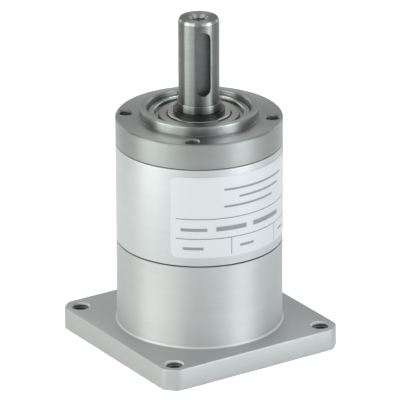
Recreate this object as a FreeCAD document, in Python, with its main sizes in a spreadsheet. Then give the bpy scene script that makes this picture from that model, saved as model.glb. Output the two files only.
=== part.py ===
import FreeCAD, Part
import math
import os
import Sketcher
from FreeCAD import Placement, Rotation, Vector

# Planetary gear reducer, one stage, 4 to 1.
# The origin is the middle of the motor face, +Z points along the output shaft, lengths are millimetres.
# Every size is worked out from the inside to the outside: teeth, ring wall, housing.

SUN_TEETH = 12
PLANET_TEETH = 12
RING_TEETH = SUN_TEETH + 2 * PLANET_TEETH
PLANETS = 3

doc = FreeCAD.newDocument("gear_reducer")

# Sizes that a designer sets, each written once
SIZES = [
    # motor plate, made for a 57 mm square motor
    ("plate_edge", 4.43, "from a screw hole to the side of the plate"),
    ("plate_thickness", 6.0, "thickness of the plate"),
    ("plate_corner", 3.0, "leg of the corner chamfers"),
    ("motor_hole_spacing", 47.14, "side of the square of tapped holes"),
    ("motor_thread_core", 4.2, "core diameter of the M5 holes"),
    ("motor_hole_mouth", 5.3, "diameter of their countersunk mouths"),
    ("pilot_diameter", 38.1, "the motor's centring boss"),
    ("pilot_play", 0.05, "play of that boss in its recess, on the diameter"),
    ("pilot_depth", 2.0, "depth of the recess"),
    # barrel
    ("barrel_length", 23.45, "barrel above the plate"),
    ("barrel_foot", 0.4, "small flare where the barrel meets the plate"),
    ("chamber_diameter", 31.0, "room around the clamp collar"),
    ("stop_lip", 1.0, "lip that stops a bearing"),
    ("lip_reach", 1.6, "how far that lip covers the bearing's outer ring"),
    ("access_diameter", 6.0, "hole for the wrench of the clamp screw"),
    ("plug_play", 0.1, "play of the plug in that hole, on the diameter"),
    ("plug_length", 4.0, "length of the plug"),
    ("plug_depth", 0.8, "how far the plug lies under the barrel's skin"),
    # gear train
    ("tooth_module", 0.9, "module of the teeth"),
    ("pressure_angle", 25.0, "pressure angle of the teeth, degrees"),
    ("tooth_play", 0.05, "play on each flank"),
    ("tooth_root_share", 1.25, "depth below the pitch circle, in modules"),
    ("ring_tip_share", 0.8, "height of the ring's teeth above the pitch circle, in modules"),
    ("drill_tip_share", 0.6, "length of a drill's point over its radius"),
    ("planet_width", 12.0, "face width of the planet gears"),
    ("side_play", 0.2, "gap on each side of a planet gear"),
    ("pin_diameter", 4.0, "planet pins"),
    ("pin_play", 0.02, "running play of a planet gear on its pin, on the radius"),
    ("train_angle", -109.6, "row angle of the keyway and of the first planet, degrees"),
    # ring gear body
    ("ring_wall", 3.175, "from the root of the ring teeth to the spigot"),
    ("ring_rim", 2.0, "from the spigot to the outside of the housing"),
    ("spigot_depth", 4.0, "length of the lower spigot"),
    ("spigot_play", 0.03, "play of the two spigots, on the radius"),
    ("floor_gap", 0.1, "gap under the end of each spigot"),
    # gaskets
    ("lower_gasket", 0.4, "thickness of the lower gasket"),
    ("upper_gasket", 0.25, "thickness of the upper gasket"),
    ("gasket_inset", 0.3, "how far the gaskets lie under the housing's skin"),
    # output cover
    ("cover_thickness", 7.0, "flange of the cover, up to its screw face"),
    ("cover_angle", 51.2, "row angle of the first screw hole, degrees"),
    ("hole_inset", 2.75, "from the screw circle to the outside of the cover"),
    ("cover_thread_core", 3.3, "core diameter of the M4 holes"),
    ("cover_hole_mouth", 4.3, "diameter of their countersunk mouths"),
    ("cover_hole_depth", 5.5, "depth of those holes"),
    ("boss_height", 2.6, "centring boss above the screw face"),
    ("boss_wall", 2.0, "wall of the boss around the bearing"),
    ("boss_chamfer", 0.5, "outer edge of the boss"),
    ("recess_chamfer", 0.35, "inner edge of the boss"),
    ("bearing_recess", 1.5, "from the top of the boss down to the bearing"),
    ("output_lip_reach", 1.75, "how far the cover's lip covers the bearing's outer ring"),
    # output bearing, double row, 12 x 28 x 12
    ("output_bearing_bore", 12.0, "bore of the output bearing"),
    ("output_bearing_outside", 28.0, "outside of the output bearing"),
    ("output_bearing_width", 12.0, "width of the output bearing"),
    ("output_ball_share", 0.4375, "its balls, as a share of the height of its section"),
    ("output_ball_shift", 0.03125, "how far the ball circle lies outside the middle, same share"),
    ("shield_gap", 0.15, "gap between the shield and the inner ring"),
    ("shield_thickness", 0.5, "sheet metal shield"),
    ("shield_inset", 0.4, "from the face of the ring down to the shield"),
    # input bearing, single row, 15 x 24 x 5
    ("input_bearing_bore", 15.0, "bore of the input bearing"),
    ("input_bearing_outside", 24.0, "outside of the input bearing"),
    ("input_bearing_width", 5.0, "width of the input bearing"),
    ("input_ball", 2.1, "its balls"),
    ("cage_wall", 1.0, "thickness of both cages"),
    ("cage_side", 0.8, "gap between a cage and the faces of the bearing"),
    # output shaft and carrier
    ("shaft_diameter", 11.0, "output shaft"),
    ("shaft_reach", 25.2, "from the top of the boss to the shaft's end"),
    ("shaft_chamfer", 0.5, "edge at the shaft's end"),
    ("seat_reach", 1.8, "from the top of the boss to the end of the bearing seat"),
    ("shoulder_step", 1.8, "shoulder behind the bearing, on the radius"),
    ("carrier_gap", 0.6, "gap between the carrier and the cover"),
    ("carrier_play", 0.45, "gap between the carrier and the ring's teeth"),
    ("carrier_plate", 5.0, "front plate of the carrier"),
    ("rear_plate", 4.0, "rear plate of the carrier"),
    ("rear_gap", 4.25, "from the input shaft's shoulder to the carrier"),
    ("sun_gap", 0.4, "gap between the sun pinion and the rear plate"),
    ("web_gap", 0.6, "from the hole in the rear plate to the carrier's webs"),
    ("web_inset", 0.6, "from the webs to the rim of the carrier"),
    ("web_inner_width", 4.0, "width of a web near the sun"),
    ("web_outer_width", 6.8, "width of a web near the rim"),
    ("key_width", 4.0, "width of the keyway"),
    ("key_length", 18.0, "length of the keyway"),
    ("key_depth", 2.5, "depth of the keyway"),
    ("key_end", 2.6, "from the shaft's end to the keyway"),
    ("centre_core", 3.3, "core diameter of the centre hole"),
    ("centre_mouth", 5.1, "diameter of its mouth"),
    ("centre_depth", 10.0, "depth of the centre hole"),
    # circlip
    ("clip_thickness", 1.0, "circlip"),
    ("clip_band", 1.25, "radial width of the circlip"),
    ("clip_groove", 0.25, "depth of its groove"),
    ("clip_slack", 0.1, "groove width beyond the circlip"),
    ("clip_lug", 1.15, "radius of its two lugs"),
    ("clip_eye", 0.5, "radius of the plier holes"),
    ("clip_lug_gap", 0.1, "gap between a lug and the shaft's groove"),
    ("clip_open_angle", 40.0, "opening between the lugs, degrees"),
    ("clip_lug_angle", 10.0, "how far the lugs reach round the band, degrees"),
    ("clip_angle", -123.0, "row angle opposite the opening, degrees"),
    # input shaft and clamp
    ("motor_shaft", 6.35, "the motor's shaft"),
    ("motor_shaft_play", 0.03, "play of that shaft in the hub, on the diameter"),
    ("motor_shaft_reach", 21.5, "from the motor face to the bottom of the bore"),
    ("hub_lead", 2.5, "hub below the clamp collar"),
    ("hub_wall", 3.07, "wall of the split hub"),
    ("hub_slit", 1.0, "slit in the hub"),
    ("seat_lead", 2.0, "bearing seat below the input bearing"),
    ("input_shoulder", 1.5, "shoulder above the input bearing"),
    ("input_bearing_gap", 0.5, "from the input bearing to the spigot's floor"),
    ("collar_drop", 2.2, "from the bearing seat down to the clamp collar"),
    ("collar_width", 8.0, "width of the clamp collar"),
    ("collar_diameter", 24.0, "outside of the clamp collar"),
    ("collar_slit", 1.5, "gap in the clamp collar"),
    ("screw_diameter", 3.0, "M3 clamp screw"),
    ("screw_length", 12.0, "length under its head"),
    ("screw_head", 5.5, "diameter of its head"),
    ("screw_head_height", 3.0, "height of its head"),
    ("screw_seat", 4.5, "from the middle plane to the seat of the head"),
    ("screw_play", 0.05, "play around the screw, on the radius"),
    ("socket_flats", 2.5, "hexagon socket across the flats"),
    ("socket_depth", 1.5, "depth of the socket"),
    # label
    ("label_thickness", 0.1, "printed label"),
    ("label_height", 23.0, "height of the label"),
    ("label_lift", 2.4, "from the lower end of the middle section to the label"),
    ("label_span_angle", 140.0, "how far round the label goes, degrees"),
    ("label_corner", 2.0, "radius of its corners"),
    ("label_angle", -73.1, "row angle of its middle, degrees"),
]

# Radii, levels and offsets that follow from the sizes; a radius ends in _r
FOLLOWING = [
    ("hole_half", "sizes.motor_hole_spacing / 2"),
    ("plate_half", "hole_half + sizes.plate_edge"),
    ("plate_flat", "plate_half - sizes.plate_corner"),
    ("pilot_r", "(sizes.pilot_diameter + sizes.pilot_play) / 2"),
    ("motor_thread_r", "sizes.motor_thread_core / 2"),
    # teeth
    ("sun_pitch_r", f"sizes.tooth_module * {SUN_TEETH} / 2"),
    ("planet_pitch_r", f"sizes.tooth_module * {PLANET_TEETH} / 2"),
    ("ring_pitch_r", f"sizes.tooth_module * {RING_TEETH} / 2"),
    ("pin_circle_r", "sun_pitch_r + planet_pitch_r"),
    ("sun_tip_r", "sun_pitch_r + sizes.tooth_module"),
    ("ring_tip_r", "ring_pitch_r - sizes.ring_tip_share * sizes.tooth_module"),
    ("ring_root_r", "ring_pitch_r + sizes.tooth_root_share * sizes.tooth_module"),
    # housing
    ("spigot_r", "ring_root_r + sizes.ring_wall"),
    ("spigot_hole_r", "spigot_r + sizes.spigot_play"),
    ("body_r", "spigot_r + sizes.ring_rim"),
    ("foot_r", "body_r + sizes.barrel_foot"),
    ("foot_top", "sizes.plate_thickness + sizes.barrel_foot"),
    ("barrel_top", "sizes.plate_thickness + sizes.barrel_length"),
    ("ring_bottom", "barrel_top + sizes.lower_gasket"),
    ("gasket_r", "body_r - sizes.gasket_inset"),
    ("spigot_bottom", "barrel_top - sizes.spigot_depth"),
    ("spigot_floor", "spigot_bottom - sizes.floor_gap"),
    # the gear train stands on the input bearing, and the cover on the gear train
    ("input_bearing_top", "spigot_floor - sizes.input_bearing_gap"),
    ("input_bearing_bottom", "input_bearing_top - sizes.input_bearing_width"),
    ("input_shoulder_top", "input_bearing_top + sizes.input_shoulder"),
    ("rear_plate_bottom", "input_shoulder_top + sizes.rear_gap"),
    ("rear_plate_top", "rear_plate_bottom + sizes.rear_plate"),
    ("planet_bottom", "rear_plate_top + sizes.side_play"),
    ("planet_top", "planet_bottom + sizes.planet_width"),
    ("carrier_bottom", "planet_top + sizes.side_play"),
    ("carrier_top", "carrier_bottom + sizes.carrier_plate"),
    ("hub_bottom", "carrier_top + sizes.carrier_gap"),
    ("bearing_rear", "hub_bottom + sizes.stop_lip"),
    ("bearing_front", "bearing_rear + sizes.output_bearing_width"),
    ("boss_top", "bearing_front + sizes.bearing_recess"),
    ("cover_face", "boss_top - sizes.boss_height"),
    ("cover_bottom", "cover_face - sizes.cover_thickness"),
    ("ring_top", "cover_bottom - sizes.upper_gasket"),
    ("ring_floor", "hub_bottom - sizes.floor_gap"),
    # output bearing and cover
    ("output_outside_r", "sizes.output_bearing_outside / 2"),
    ("output_seat_r", "sizes.output_bearing_bore / 2"),
    ("output_section", "output_outside_r - output_seat_r"),
    ("output_ball_circle_r", "output_seat_r + (0.5 + sizes.output_ball_shift) * output_section"),
    ("output_ball_r", "sizes.output_ball_share * output_section / 2"),
    ("output_land_r", "output_ball_circle_r + output_ball_r"),
    ("output_inner_r", "output_ball_circle_r - output_ball_r"),
    ("shield_r", "output_inner_r + sizes.shield_gap"),
    ("shield_front", "bearing_front - sizes.shield_inset"),
    ("shield_rear", "shield_front - sizes.shield_thickness"),
    ("output_cage_in_r", "output_ball_circle_r - sizes.cage_wall / 2"),
    ("output_cage_out_r", "output_ball_circle_r + sizes.cage_wall / 2"),
    ("output_cage_rear", "bearing_rear + sizes.cage_side"),
    ("output_cage_front", "shield_rear - sizes.cage_side"),
    ("output_lip_r", "output_outside_r - sizes.output_lip_reach"),
    ("boss_r", "output_outside_r + sizes.boss_wall"),
    ("boss_edge_r", "boss_r - sizes.boss_chamfer"),
    ("boss_edge", "boss_top - sizes.boss_chamfer"),
    ("recess_edge_r", "output_outside_r + sizes.recess_chamfer"),
    ("recess_edge", "boss_top - sizes.recess_chamfer"),
    ("screw_circle_r", "body_r - sizes.hole_inset"),
    ("cover_thread_r", "sizes.cover_thread_core / 2"),
    # input bearing and flange
    ("input_outside_r", "sizes.input_bearing_outside / 2"),
    ("input_seat_r", "sizes.input_bearing_bore / 2"),
    ("input_ball_circle_r", "(input_outside_r + input_seat_r) / 2"),
    ("input_land_r", "input_ball_circle_r + sizes.input_ball / 2"),
    ("input_inner_r", "input_ball_circle_r - sizes.input_ball / 2"),
    ("input_cage_in_r", "input_ball_circle_r - sizes.cage_wall / 2"),
    ("input_cage_out_r", "input_ball_circle_r + sizes.cage_wall / 2"),
    ("input_cage_top", "input_bearing_top - sizes.cage_side"),
    ("input_cage_bottom", "input_bearing_bottom + sizes.cage_side"),
    ("input_lip_r", "input_outside_r - sizes.lip_reach"),
    ("chamber_r", "sizes.chamber_diameter / 2"),
    ("chamber_top", "input_bearing_bottom - sizes.stop_lip"),
    ("access_r", "sizes.access_diameter / 2"),
    ("plug_r", "(sizes.access_diameter - sizes.plug_play) / 2"),
    # carrier and output shaft
    ("carrier_r", "ring_tip_r - sizes.carrier_play"),
    ("sun_hole_r", "sun_tip_r + sizes.sun_gap"),
    ("web_in_r", "sun_hole_r + sizes.web_gap"),
    ("web_out_r", "carrier_r - sizes.web_inset"),
    ("web_in_half", "sizes.web_inner_width / 2"),
    ("web_out_half", "sizes.web_outer_width / 2"),
    ("web_length", "carrier_bottom - rear_plate_top"),
    ("pin_r", "sizes.pin_diameter / 2"),
    ("planet_bore_r", "pin_r + sizes.pin_play"),
    ("shoulder_r", "output_seat_r + sizes.shoulder_step"),
    ("groove_r", "output_seat_r - sizes.clip_groove"),
    ("clip_top", "bearing_front + sizes.clip_thickness"),
    ("groove_top", "clip_top + sizes.clip_slack"),
    ("seat_end", "boss_top + sizes.seat_reach"),
    ("shaft_r", "sizes.shaft_diameter / 2"),
    ("shaft_edge_r", "shaft_r - sizes.shaft_chamfer"),
    ("shaft_end", "boss_top + sizes.shaft_reach"),
    ("shaft_edge", "shaft_end - sizes.shaft_chamfer"),
    ("centre_r", "sizes.centre_core / 2"),
    ("centre_mouth_r", "sizes.centre_mouth / 2"),
    ("centre_mouth_end", "shaft_end - (centre_mouth_r - centre_r)"),
    ("centre_end", "shaft_end - sizes.centre_depth"),
    ("centre_tip", "centre_end - sizes.drill_tip_share * centre_r"),
    ("key_half", "sizes.key_width / 2"),
    ("key_floor", "shaft_r - sizes.key_depth"),
    ("key_high", "shaft_end - sizes.key_end - key_half"),
    ("key_low", "shaft_end - sizes.key_end - sizes.key_length + key_half"),
    # circlip
    ("clip_r", "groove_r + sizes.clip_band"),
    ("lug_angle", "(sizes.clip_open_angle + sizes.clip_lug_angle) / 2"),
    ("clip_lug_circle_r", "groove_r + sizes.clip_lug + sizes.clip_lug_gap"),
    ("clip_lug_x", "-clip_lug_circle_r * cos(lug_angle * 1 deg)"),
    ("clip_lug_y", "clip_lug_circle_r * sin(lug_angle * 1 deg)"),
    # input shaft and clamp
    ("motor_bore_r", "(sizes.motor_shaft + sizes.motor_shaft_play) / 2"),
    ("motor_bore_tip", "sizes.motor_shaft_reach + sizes.drill_tip_share * motor_bore_r"),
    ("hub_r", "motor_bore_r + sizes.hub_wall"),
    ("hub_end", "input_bearing_bottom - sizes.seat_lead"),
    ("slit_half", "sizes.hub_slit / 2"),
    ("input_shoulder_r", "input_inner_r"),
    ("collar_r", "sizes.collar_diameter / 2"),
    ("collar_top", "hub_end - sizes.collar_drop"),
    ("collar_start", "collar_top - sizes.collar_width"),
    ("collar_middle", "collar_top - sizes.collar_width / 2"),
    ("hub_start", "collar_start - sizes.hub_lead"),
    ("collar_slit_half", "sizes.collar_slit / 2"),
    ("screw_offset", "(hub_r + collar_r) / 2"),
    ("screw_r", "sizes.screw_diameter / 2"),
    ("screw_hole_r", "screw_r + sizes.screw_play"),
    ("screw_head_r", "sizes.screw_head / 2"),
    ("screw_head_hole_r", "screw_head_r + 2 * sizes.screw_play"),
    ("socket_floor", "sizes.screw_head_height - sizes.socket_depth"),
    ("socket_side", "sizes.socket_flats / 2"),
    ("socket_corner", "sizes.socket_flats / sqrt(3)"),
    ("socket_half_corner", "socket_corner / 2"),
    # label
    ("label_r", "body_r + sizes.label_thickness"),
    ("label_bottom", "ring_bottom + sizes.label_lift"),
    ("label_top", "label_bottom + sizes.label_height"),
]

sizes = doc.addObject("Spreadsheet::Sheet", "sizes")
for row, (name, value, note) in enumerate(SIZES, start=1):
    sizes.set(f"A{row}", name)
    sizes.set(f"B{row}", str(value))
    sizes.setAlias(f"B{row}", name)
    sizes.set(f"C{row}", note)

fits = doc.addObject("Spreadsheet::Sheet", "fits")
for row, (name, formula) in enumerate(FOLLOWING, start=1):
    fits.set(f"A{row}", name)
    fits.set(f"B{row}", f"={formula}")
    fits.setAlias(f"B{row}", name)
doc.recompute()

SIZE_NAMES = {name for name, value, note in SIZES}


def cell(name):
    """Formula that reads a named value, with its sign."""
    sign = "-" if name.startswith("-") else ""
    plain = name.lstrip("-")
    sheet = "sizes" if plain in SIZE_NAMES else "fits"
    return f"{sign}{sheet}.{plain}"


def amount(name):
    """Number of a named value, with its sign."""
    plain = name.lstrip("-")
    sheet = sizes if plain in SIZE_NAMES else fits
    number = float(sheet.get(plain))
    return -number if name.startswith("-") else number


# Bodies, sketches and features

def new_body(label):
    body = doc.addObject("PartDesign::Body", label)
    body.Label = label
    return body


def origin_feature(body, role):
    return next(item for item in body.Origin.OriginFeatures if item.Role == role)


def new_sketch(body, role="XZ_Plane", lift=None):
    """Sketch on one of the body's planes, lifted along the plane's normal by a named value."""
    sketch = body.newObject("Sketcher::SketchObject", f"{body.Name}_sketch")
    sketch.AttachmentSupport = (origin_feature(body, role), [""])
    sketch.MapMode = "FlatFace"
    if lift:
        sketch.setExpression(".AttachmentOffset.Base.z", cell(lift))
    return sketch


def hold(sketch, kind, first, first_end, name):
    """Distance of a point from the sketch origin, held by a named value; 0 holds it on the axis."""
    start = 0.0 if name == "0" else amount(name)
    number = sketch.addConstraint(Sketcher.Constraint(kind, -1, 1, first, first_end, start))
    if name != "0":
        sketch.setExpression(f"Constraints[{number}]", cell(name))


def outline(sketch, corners):
    """Closed straight-sided outline through corners given as pairs of named values."""
    places = []
    for across, up in corners:
        across_value = 0.0 if across == "0" else amount(across)
        up_value = 0.0 if up == "0" else amount(up)
        places.append(Vector(across_value, up_value, 0))
    first = sketch.GeometryCount
    count = len(corners)
    for index in range(count):
        sketch.addGeometry(Part.LineSegment(places[index], places[(index + 1) % count]), False)
    for index in range(count):
        following = first + (index + 1) % count
        sketch.addConstraint(Sketcher.Constraint("Coincident", first + index, 2, following, 1))
    for index, (across, up) in enumerate(corners):
        hold(sketch, "DistanceX", first + index, 1, across)
        hold(sketch, "DistanceY", first + index, 1, up)


def circle(sketch, across, up, radius):
    """Circle whose middle and radius are named values."""
    middle = Vector(0.0 if across == "0" else amount(across), 0.0 if up == "0" else amount(up), 0)
    number = sketch.addGeometry(Part.Circle(middle, Vector(0, 0, 1), amount(radius)), False)
    hold(sketch, "DistanceX", number, 3, across)
    hold(sketch, "DistanceY", number, 3, up)
    size = sketch.addConstraint(Sketcher.Constraint("Radius", number, amount(radius)))
    sketch.setExpression(f"Constraints[{size}]", cell(radius))


def turn_profile(body, kind, corners, angle=None):
    """Revolution or Groove of a half section given as pairs of radius and level."""
    sketch = new_sketch(body)
    outline(sketch, corners)
    feature = body.newObject(f"PartDesign::{kind}", f"{body.Name}_{kind.lower()}")
    feature.Profile = sketch
    feature.ReferenceAxis = (sketch, ["V_Axis"])
    feature.Angle = 360
    if angle:
        feature.Midplane = True
        feature.setExpression("Angle", angle)
    return feature


def turned(label, corners, angle=None):
    """Body that is one turned half section."""
    body = new_body(label)
    turn_profile(body, "Revolution", corners, angle)
    return body


def ring(label, inner, outer, low, high):
    """Plain ring between two radii and two levels."""
    return turned(label, [(inner, low), (outer, low), (outer, high), (inner, high)])


def straight(body, kind, sketch, length, reverse=False):
    """Pad or Pocket of a sketch over a named length."""
    feature = body.newObject(f"PartDesign::{kind}", f"{body.Name}_{kind.lower()}")
    feature.Profile = sketch
    feature.Type = "Length"
    feature.setExpression("Length", cell(length))
    feature.Reversed = reverse
    return feature


def repeat_round(body, feature, count):
    """The same feature, evenly round the body's axis."""
    pattern = body.newObject("PartDesign::PolarPattern", f"{body.Name}_round")
    pattern.Originals = [feature]
    pattern.Axis = (origin_feature(body, "Z_Axis"), [""])
    pattern.Angle = 360
    pattern.Occurrences = count
    body.Tip = pattern
    return pattern


def seat(piece, turn=None, along_x=False):
    """Place of a piece in the assembly: turned about the main axis, or laid along X at the clamp screw."""
    if turn:
        piece.setExpression(".Placement.Rotation.Angle", cell(turn))
        piece.Placement = Placement(Vector(), Rotation(Vector(0, 0, 1), amount(turn)))
    if along_x:
        piece.Placement = Placement(Vector(), Rotation(Vector(0, 1, 0), 90))
        piece.setExpression(".Placement.Base.y", cell("screw_offset"))
        piece.setExpression(".Placement.Base.z", cell("collar_middle"))
    return piece


# Teeth

def tooth_half_angle(radius, teeth, play):
    """Half the angle that a tooth takes at a radius; play is taken off each flank."""
    pitch_radius = amount("tooth_module") * teeth / 2
    pressure = math.radians(amount("pressure_angle"))
    base_radius = pitch_radius * math.cos(pressure)
    local = math.acos(min(1.0, base_radius / radius))
    rise = (math.tan(pressure) - pressure) - (math.tan(local) - local)
    return math.pi / (2 * teeth) - play / pitch_radius + rise


def polar(radius, angle):
    return Vector(radius * math.cos(angle), radius * math.sin(angle), 0)


def toothed_wire(teeth, root_radius, tip_radius, play):
    """Closed outline of a toothed wheel with a tooth on +X; each flank is an arc close to the involute."""
    pitch_radius = amount("tooth_module") * teeth / 2
    base_radius = pitch_radius * math.cos(math.radians(amount("pressure_angle")))
    flank_start = max(base_radius, root_radius)
    flank_middle = (flank_start + tip_radius) / 2
    low = tooth_half_angle(flank_start, teeth, play)
    middle = tooth_half_angle(flank_middle, teeth, play)
    high = tooth_half_angle(tip_radius, teeth, play)
    pitch_angle = 2 * math.pi / teeth
    edges = []
    for index in range(teeth):
        heading = index * pitch_angle
        if flank_start > root_radius:
            edges.append(Part.LineSegment(polar(root_radius, heading - low), polar(flank_start, heading - low)))
        edges.append(Part.Arc(polar(flank_start, heading - low), polar(flank_middle, heading - middle),
                              polar(tip_radius, heading - high)))
        edges.append(Part.Arc(polar(tip_radius, heading - high), polar(tip_radius, heading),
                              polar(tip_radius, heading + high)))
        edges.append(Part.Arc(polar(tip_radius, heading + high), polar(flank_middle, heading + middle),
                              polar(flank_start, heading + low)))
        if flank_start > root_radius:
            edges.append(Part.LineSegment(polar(flank_start, heading + low), polar(root_radius, heading + low)))
        edges.append(Part.Arc(polar(root_radius, heading + low), polar(root_radius, heading + pitch_angle / 2),
                              polar(root_radius, heading + pitch_angle - low)))
    return Part.Wire([edge.toShape() for edge in edges])


def toothed_prism(label, wire, low, high, bore=None):
    """Solid of a toothed outline between two levels, with a bore if one is named."""
    wires = [wire]
    if bore:
        wires.append(Part.Wire([Part.Circle(Vector(), Vector(0, 0, 1), amount(bore)).toShape()]))
    face = Part.makeFace(wires, "Part::FaceMakerBullseye")
    face.translate(Vector(0, 0, amount(low)))
    prism = doc.addObject("Part::Feature", label)
    prism.Label = label
    prism.Shape = face.extrude(Vector(0, 0, amount(high) - amount(low)))
    return prism


def outer_teeth(teeth):
    """Outline of a wheel with teeth outside."""
    pitch_radius = amount("tooth_module") * teeth / 2
    return toothed_wire(teeth, pitch_radius - amount("tooth_root_share") * amount("tooth_module"),
                        pitch_radius + amount("tooth_module"), amount("tooth_play"))


# Housing

def make_motor_flange():
    body = new_body("motor_flange")
    plate = new_sketch(body, "XY_Plane")
    outline(plate, [("plate_half", "plate_flat"), ("plate_flat", "plate_half"),
                    ("-plate_flat", "plate_half"), ("-plate_half", "plate_flat"),
                    ("-plate_half", "-plate_flat"), ("-plate_flat", "-plate_half"),
                    ("plate_flat", "-plate_half"), ("plate_half", "-plate_flat")])
    straight(body, "Pad", plate, "plate_thickness")
    turn_profile(body, "Revolution", [("0", "0"), ("pilot_r", "0"), ("foot_r", "plate_thickness"),
                                      ("body_r", "foot_top"), ("body_r", "barrel_top"), ("0", "barrel_top")])
    turn_profile(body, "Groove", [("0", "0"), ("pilot_r", "0"), ("pilot_r", "pilot_depth"),
                                  ("chamber_r", "pilot_depth"), ("chamber_r", "chamber_top"),
                                  ("input_lip_r", "chamber_top"), ("input_lip_r", "input_bearing_bottom"),
                                  ("input_outside_r", "input_bearing_bottom"),
                                  ("input_outside_r", "spigot_floor"), ("spigot_hole_r", "spigot_floor"),
                                  ("spigot_hole_r", "barrel_top"), ("0", "barrel_top")])
    access = new_sketch(body, "YZ_Plane")
    circle(access, "screw_offset", "collar_middle", "access_r")
    straight(body, "Pocket", access, "body_r", reverse=True)
    holes = new_sketch(body, "XY_Plane", lift="plate_thickness")
    for across in ("hole_half", "-hole_half"):
        for up in ("hole_half", "-hole_half"):
            circle(holes, across, up, "motor_thread_r")
    doc.recompute()
    tapped = body.newObject("PartDesign::Hole", "motor_flange_holes")
    tapped.Profile = holes
    doc.recompute()
    tapped.DepthType = "ThroughAll"
    tapped.HoleCutType = "Countersink"
    tapped.HoleCutCustomValues = True
    tapped.setExpression("Diameter", cell("motor_thread_core"))
    tapped.setExpression("HoleCutDiameter", cell("motor_hole_mouth"))
    tapped.HoleCutCountersinkAngle = 90
    return body


def make_ring_gear():
    blank = turned("ring_gear_blank", [("0", "spigot_bottom"), ("spigot_r", "spigot_bottom"),
                                       ("spigot_r", "ring_bottom"), ("body_r", "ring_bottom"),
                                       ("body_r", "ring_top"), ("spigot_hole_r", "ring_top"),
                                       ("spigot_hole_r", "ring_floor"), ("0", "ring_floor")])
    # the broach has a tooth where the ring has a space
    broach_wire = toothed_wire(RING_TEETH, amount("ring_tip_r"), amount("ring_root_r"),
                               -amount("tooth_play"))
    broach = toothed_prism("ring_gear_broach", broach_wire, "chamber_top", "boss_top")
    gear = doc.addObject("Part::Cut", "ring_gear")
    gear.Base = blank
    gear.Tool = broach
    gear.Label = "ring_gear"
    return seat(gear, turn="train_angle")


def make_output_cover():
    body = turned("output_cover", [("output_lip_r", "hub_bottom"), ("spigot_r", "hub_bottom"),
                                   ("spigot_r", "cover_bottom"), ("body_r", "cover_bottom"),
                                   ("body_r", "cover_face"), ("boss_r", "cover_face"),
                                   ("boss_r", "boss_edge"), ("boss_edge_r", "boss_top"),
                                   ("recess_edge_r", "boss_top"), ("output_outside_r", "recess_edge"),
                                   ("output_outside_r", "bearing_rear"), ("output_lip_r", "bearing_rear")])
    hole = new_sketch(body, "XY_Plane", lift="cover_face")
    circle(hole, "screw_circle_r", "0", "cover_thread_r")
    doc.recompute()
    tapped = body.newObject("PartDesign::Hole", "output_cover_hole")
    tapped.Profile = hole
    doc.recompute()
    tapped.DepthType = "Dimension"
    tapped.setExpression("Depth", cell("cover_hole_depth"))
    tapped.HoleCutType = "Countersink"
    tapped.HoleCutCustomValues = True
    tapped.setExpression("Diameter", cell("cover_thread_core"))
    tapped.setExpression("HoleCutDiameter", cell("cover_hole_mouth"))
    tapped.HoleCutCountersinkAngle = 90
    repeat_round(body, tapped, 4)
    return seat(body, turn="cover_angle")


def make_gaskets():
    lower = ring("lower_gasket", "spigot_r", "gasket_r", "barrel_top", "ring_bottom")
    upper = ring("upper_gasket", "spigot_r", "gasket_r", "ring_top", "cover_bottom")
    return [lower, upper]


def make_label():
    body = turned("rating_label", [("body_r", "label_bottom"), ("label_r", "label_bottom"),
                                   ("label_r", "label_top"), ("body_r", "label_top")],
                  angle=cell("label_span_angle"))
    doc.recompute()
    film = body.Tip
    corners = [f"Edge{number}" for number, edge in enumerate(film.Shape.Edges, start=1)
               if abs(edge.Length - amount("label_thickness")) < 0.001]
    rounded = body.newObject("PartDesign::Fillet", "rating_label_corners")
    rounded.Base = (film, corners)
    rounded.setExpression("Radius", cell("label_corner"))
    return seat(body, turn="label_angle")


def make_access_plug():
    """Plug in the barrel's access hole, just under the skin."""
    body = new_body("access_plug")
    section = new_sketch(body, "XY_Plane")
    circle(section, "0", "0", "plug_r")
    straight(body, "Pad", section, "plug_length")
    body.Placement = Placement(Vector(), Rotation(Vector(0, 1, 0), 90))
    body.setExpression(".Placement.Base.x", "sqrt(fits.body_r ^ 2 - (fits.screw_offset + fits.plug_r) ^ 2)"
                                            " - sizes.plug_depth - sizes.plug_length")
    body.setExpression(".Placement.Base.y", cell("screw_offset"))
    body.setExpression(".Placement.Base.z", cell("collar_middle"))
    return body


# Bearings

def make_output_bearing():
    outer = ring("output_bearing_outer_ring", "output_land_r", "output_outside_r", "bearing_rear", "bearing_front")
    inner = ring("output_bearing_inner_ring", "output_seat_r", "output_inner_r", "bearing_rear", "bearing_front")
    shield = ring("output_bearing_shield", "shield_r", "output_land_r", "shield_rear", "shield_front")
    cage = ring("output_bearing_cage", "output_cage_in_r", "output_cage_out_r", "output_cage_rear",
                "output_cage_front")
    return [outer, inner, shield, cage]


def make_input_bearing():
    outer = ring("input_bearing_outer_ring", "input_land_r", "input_outside_r", "input_bearing_bottom",
                 "input_bearing_top")
    inner = ring("input_bearing_inner_ring", "input_seat_r", "input_inner_r", "input_bearing_bottom",
                 "input_bearing_top")
    cage = ring("input_bearing_cage", "input_cage_in_r", "input_cage_out_r", "input_cage_bottom",
                "input_cage_top")
    return [outer, inner, cage]


# Output shaft and carrier

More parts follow.
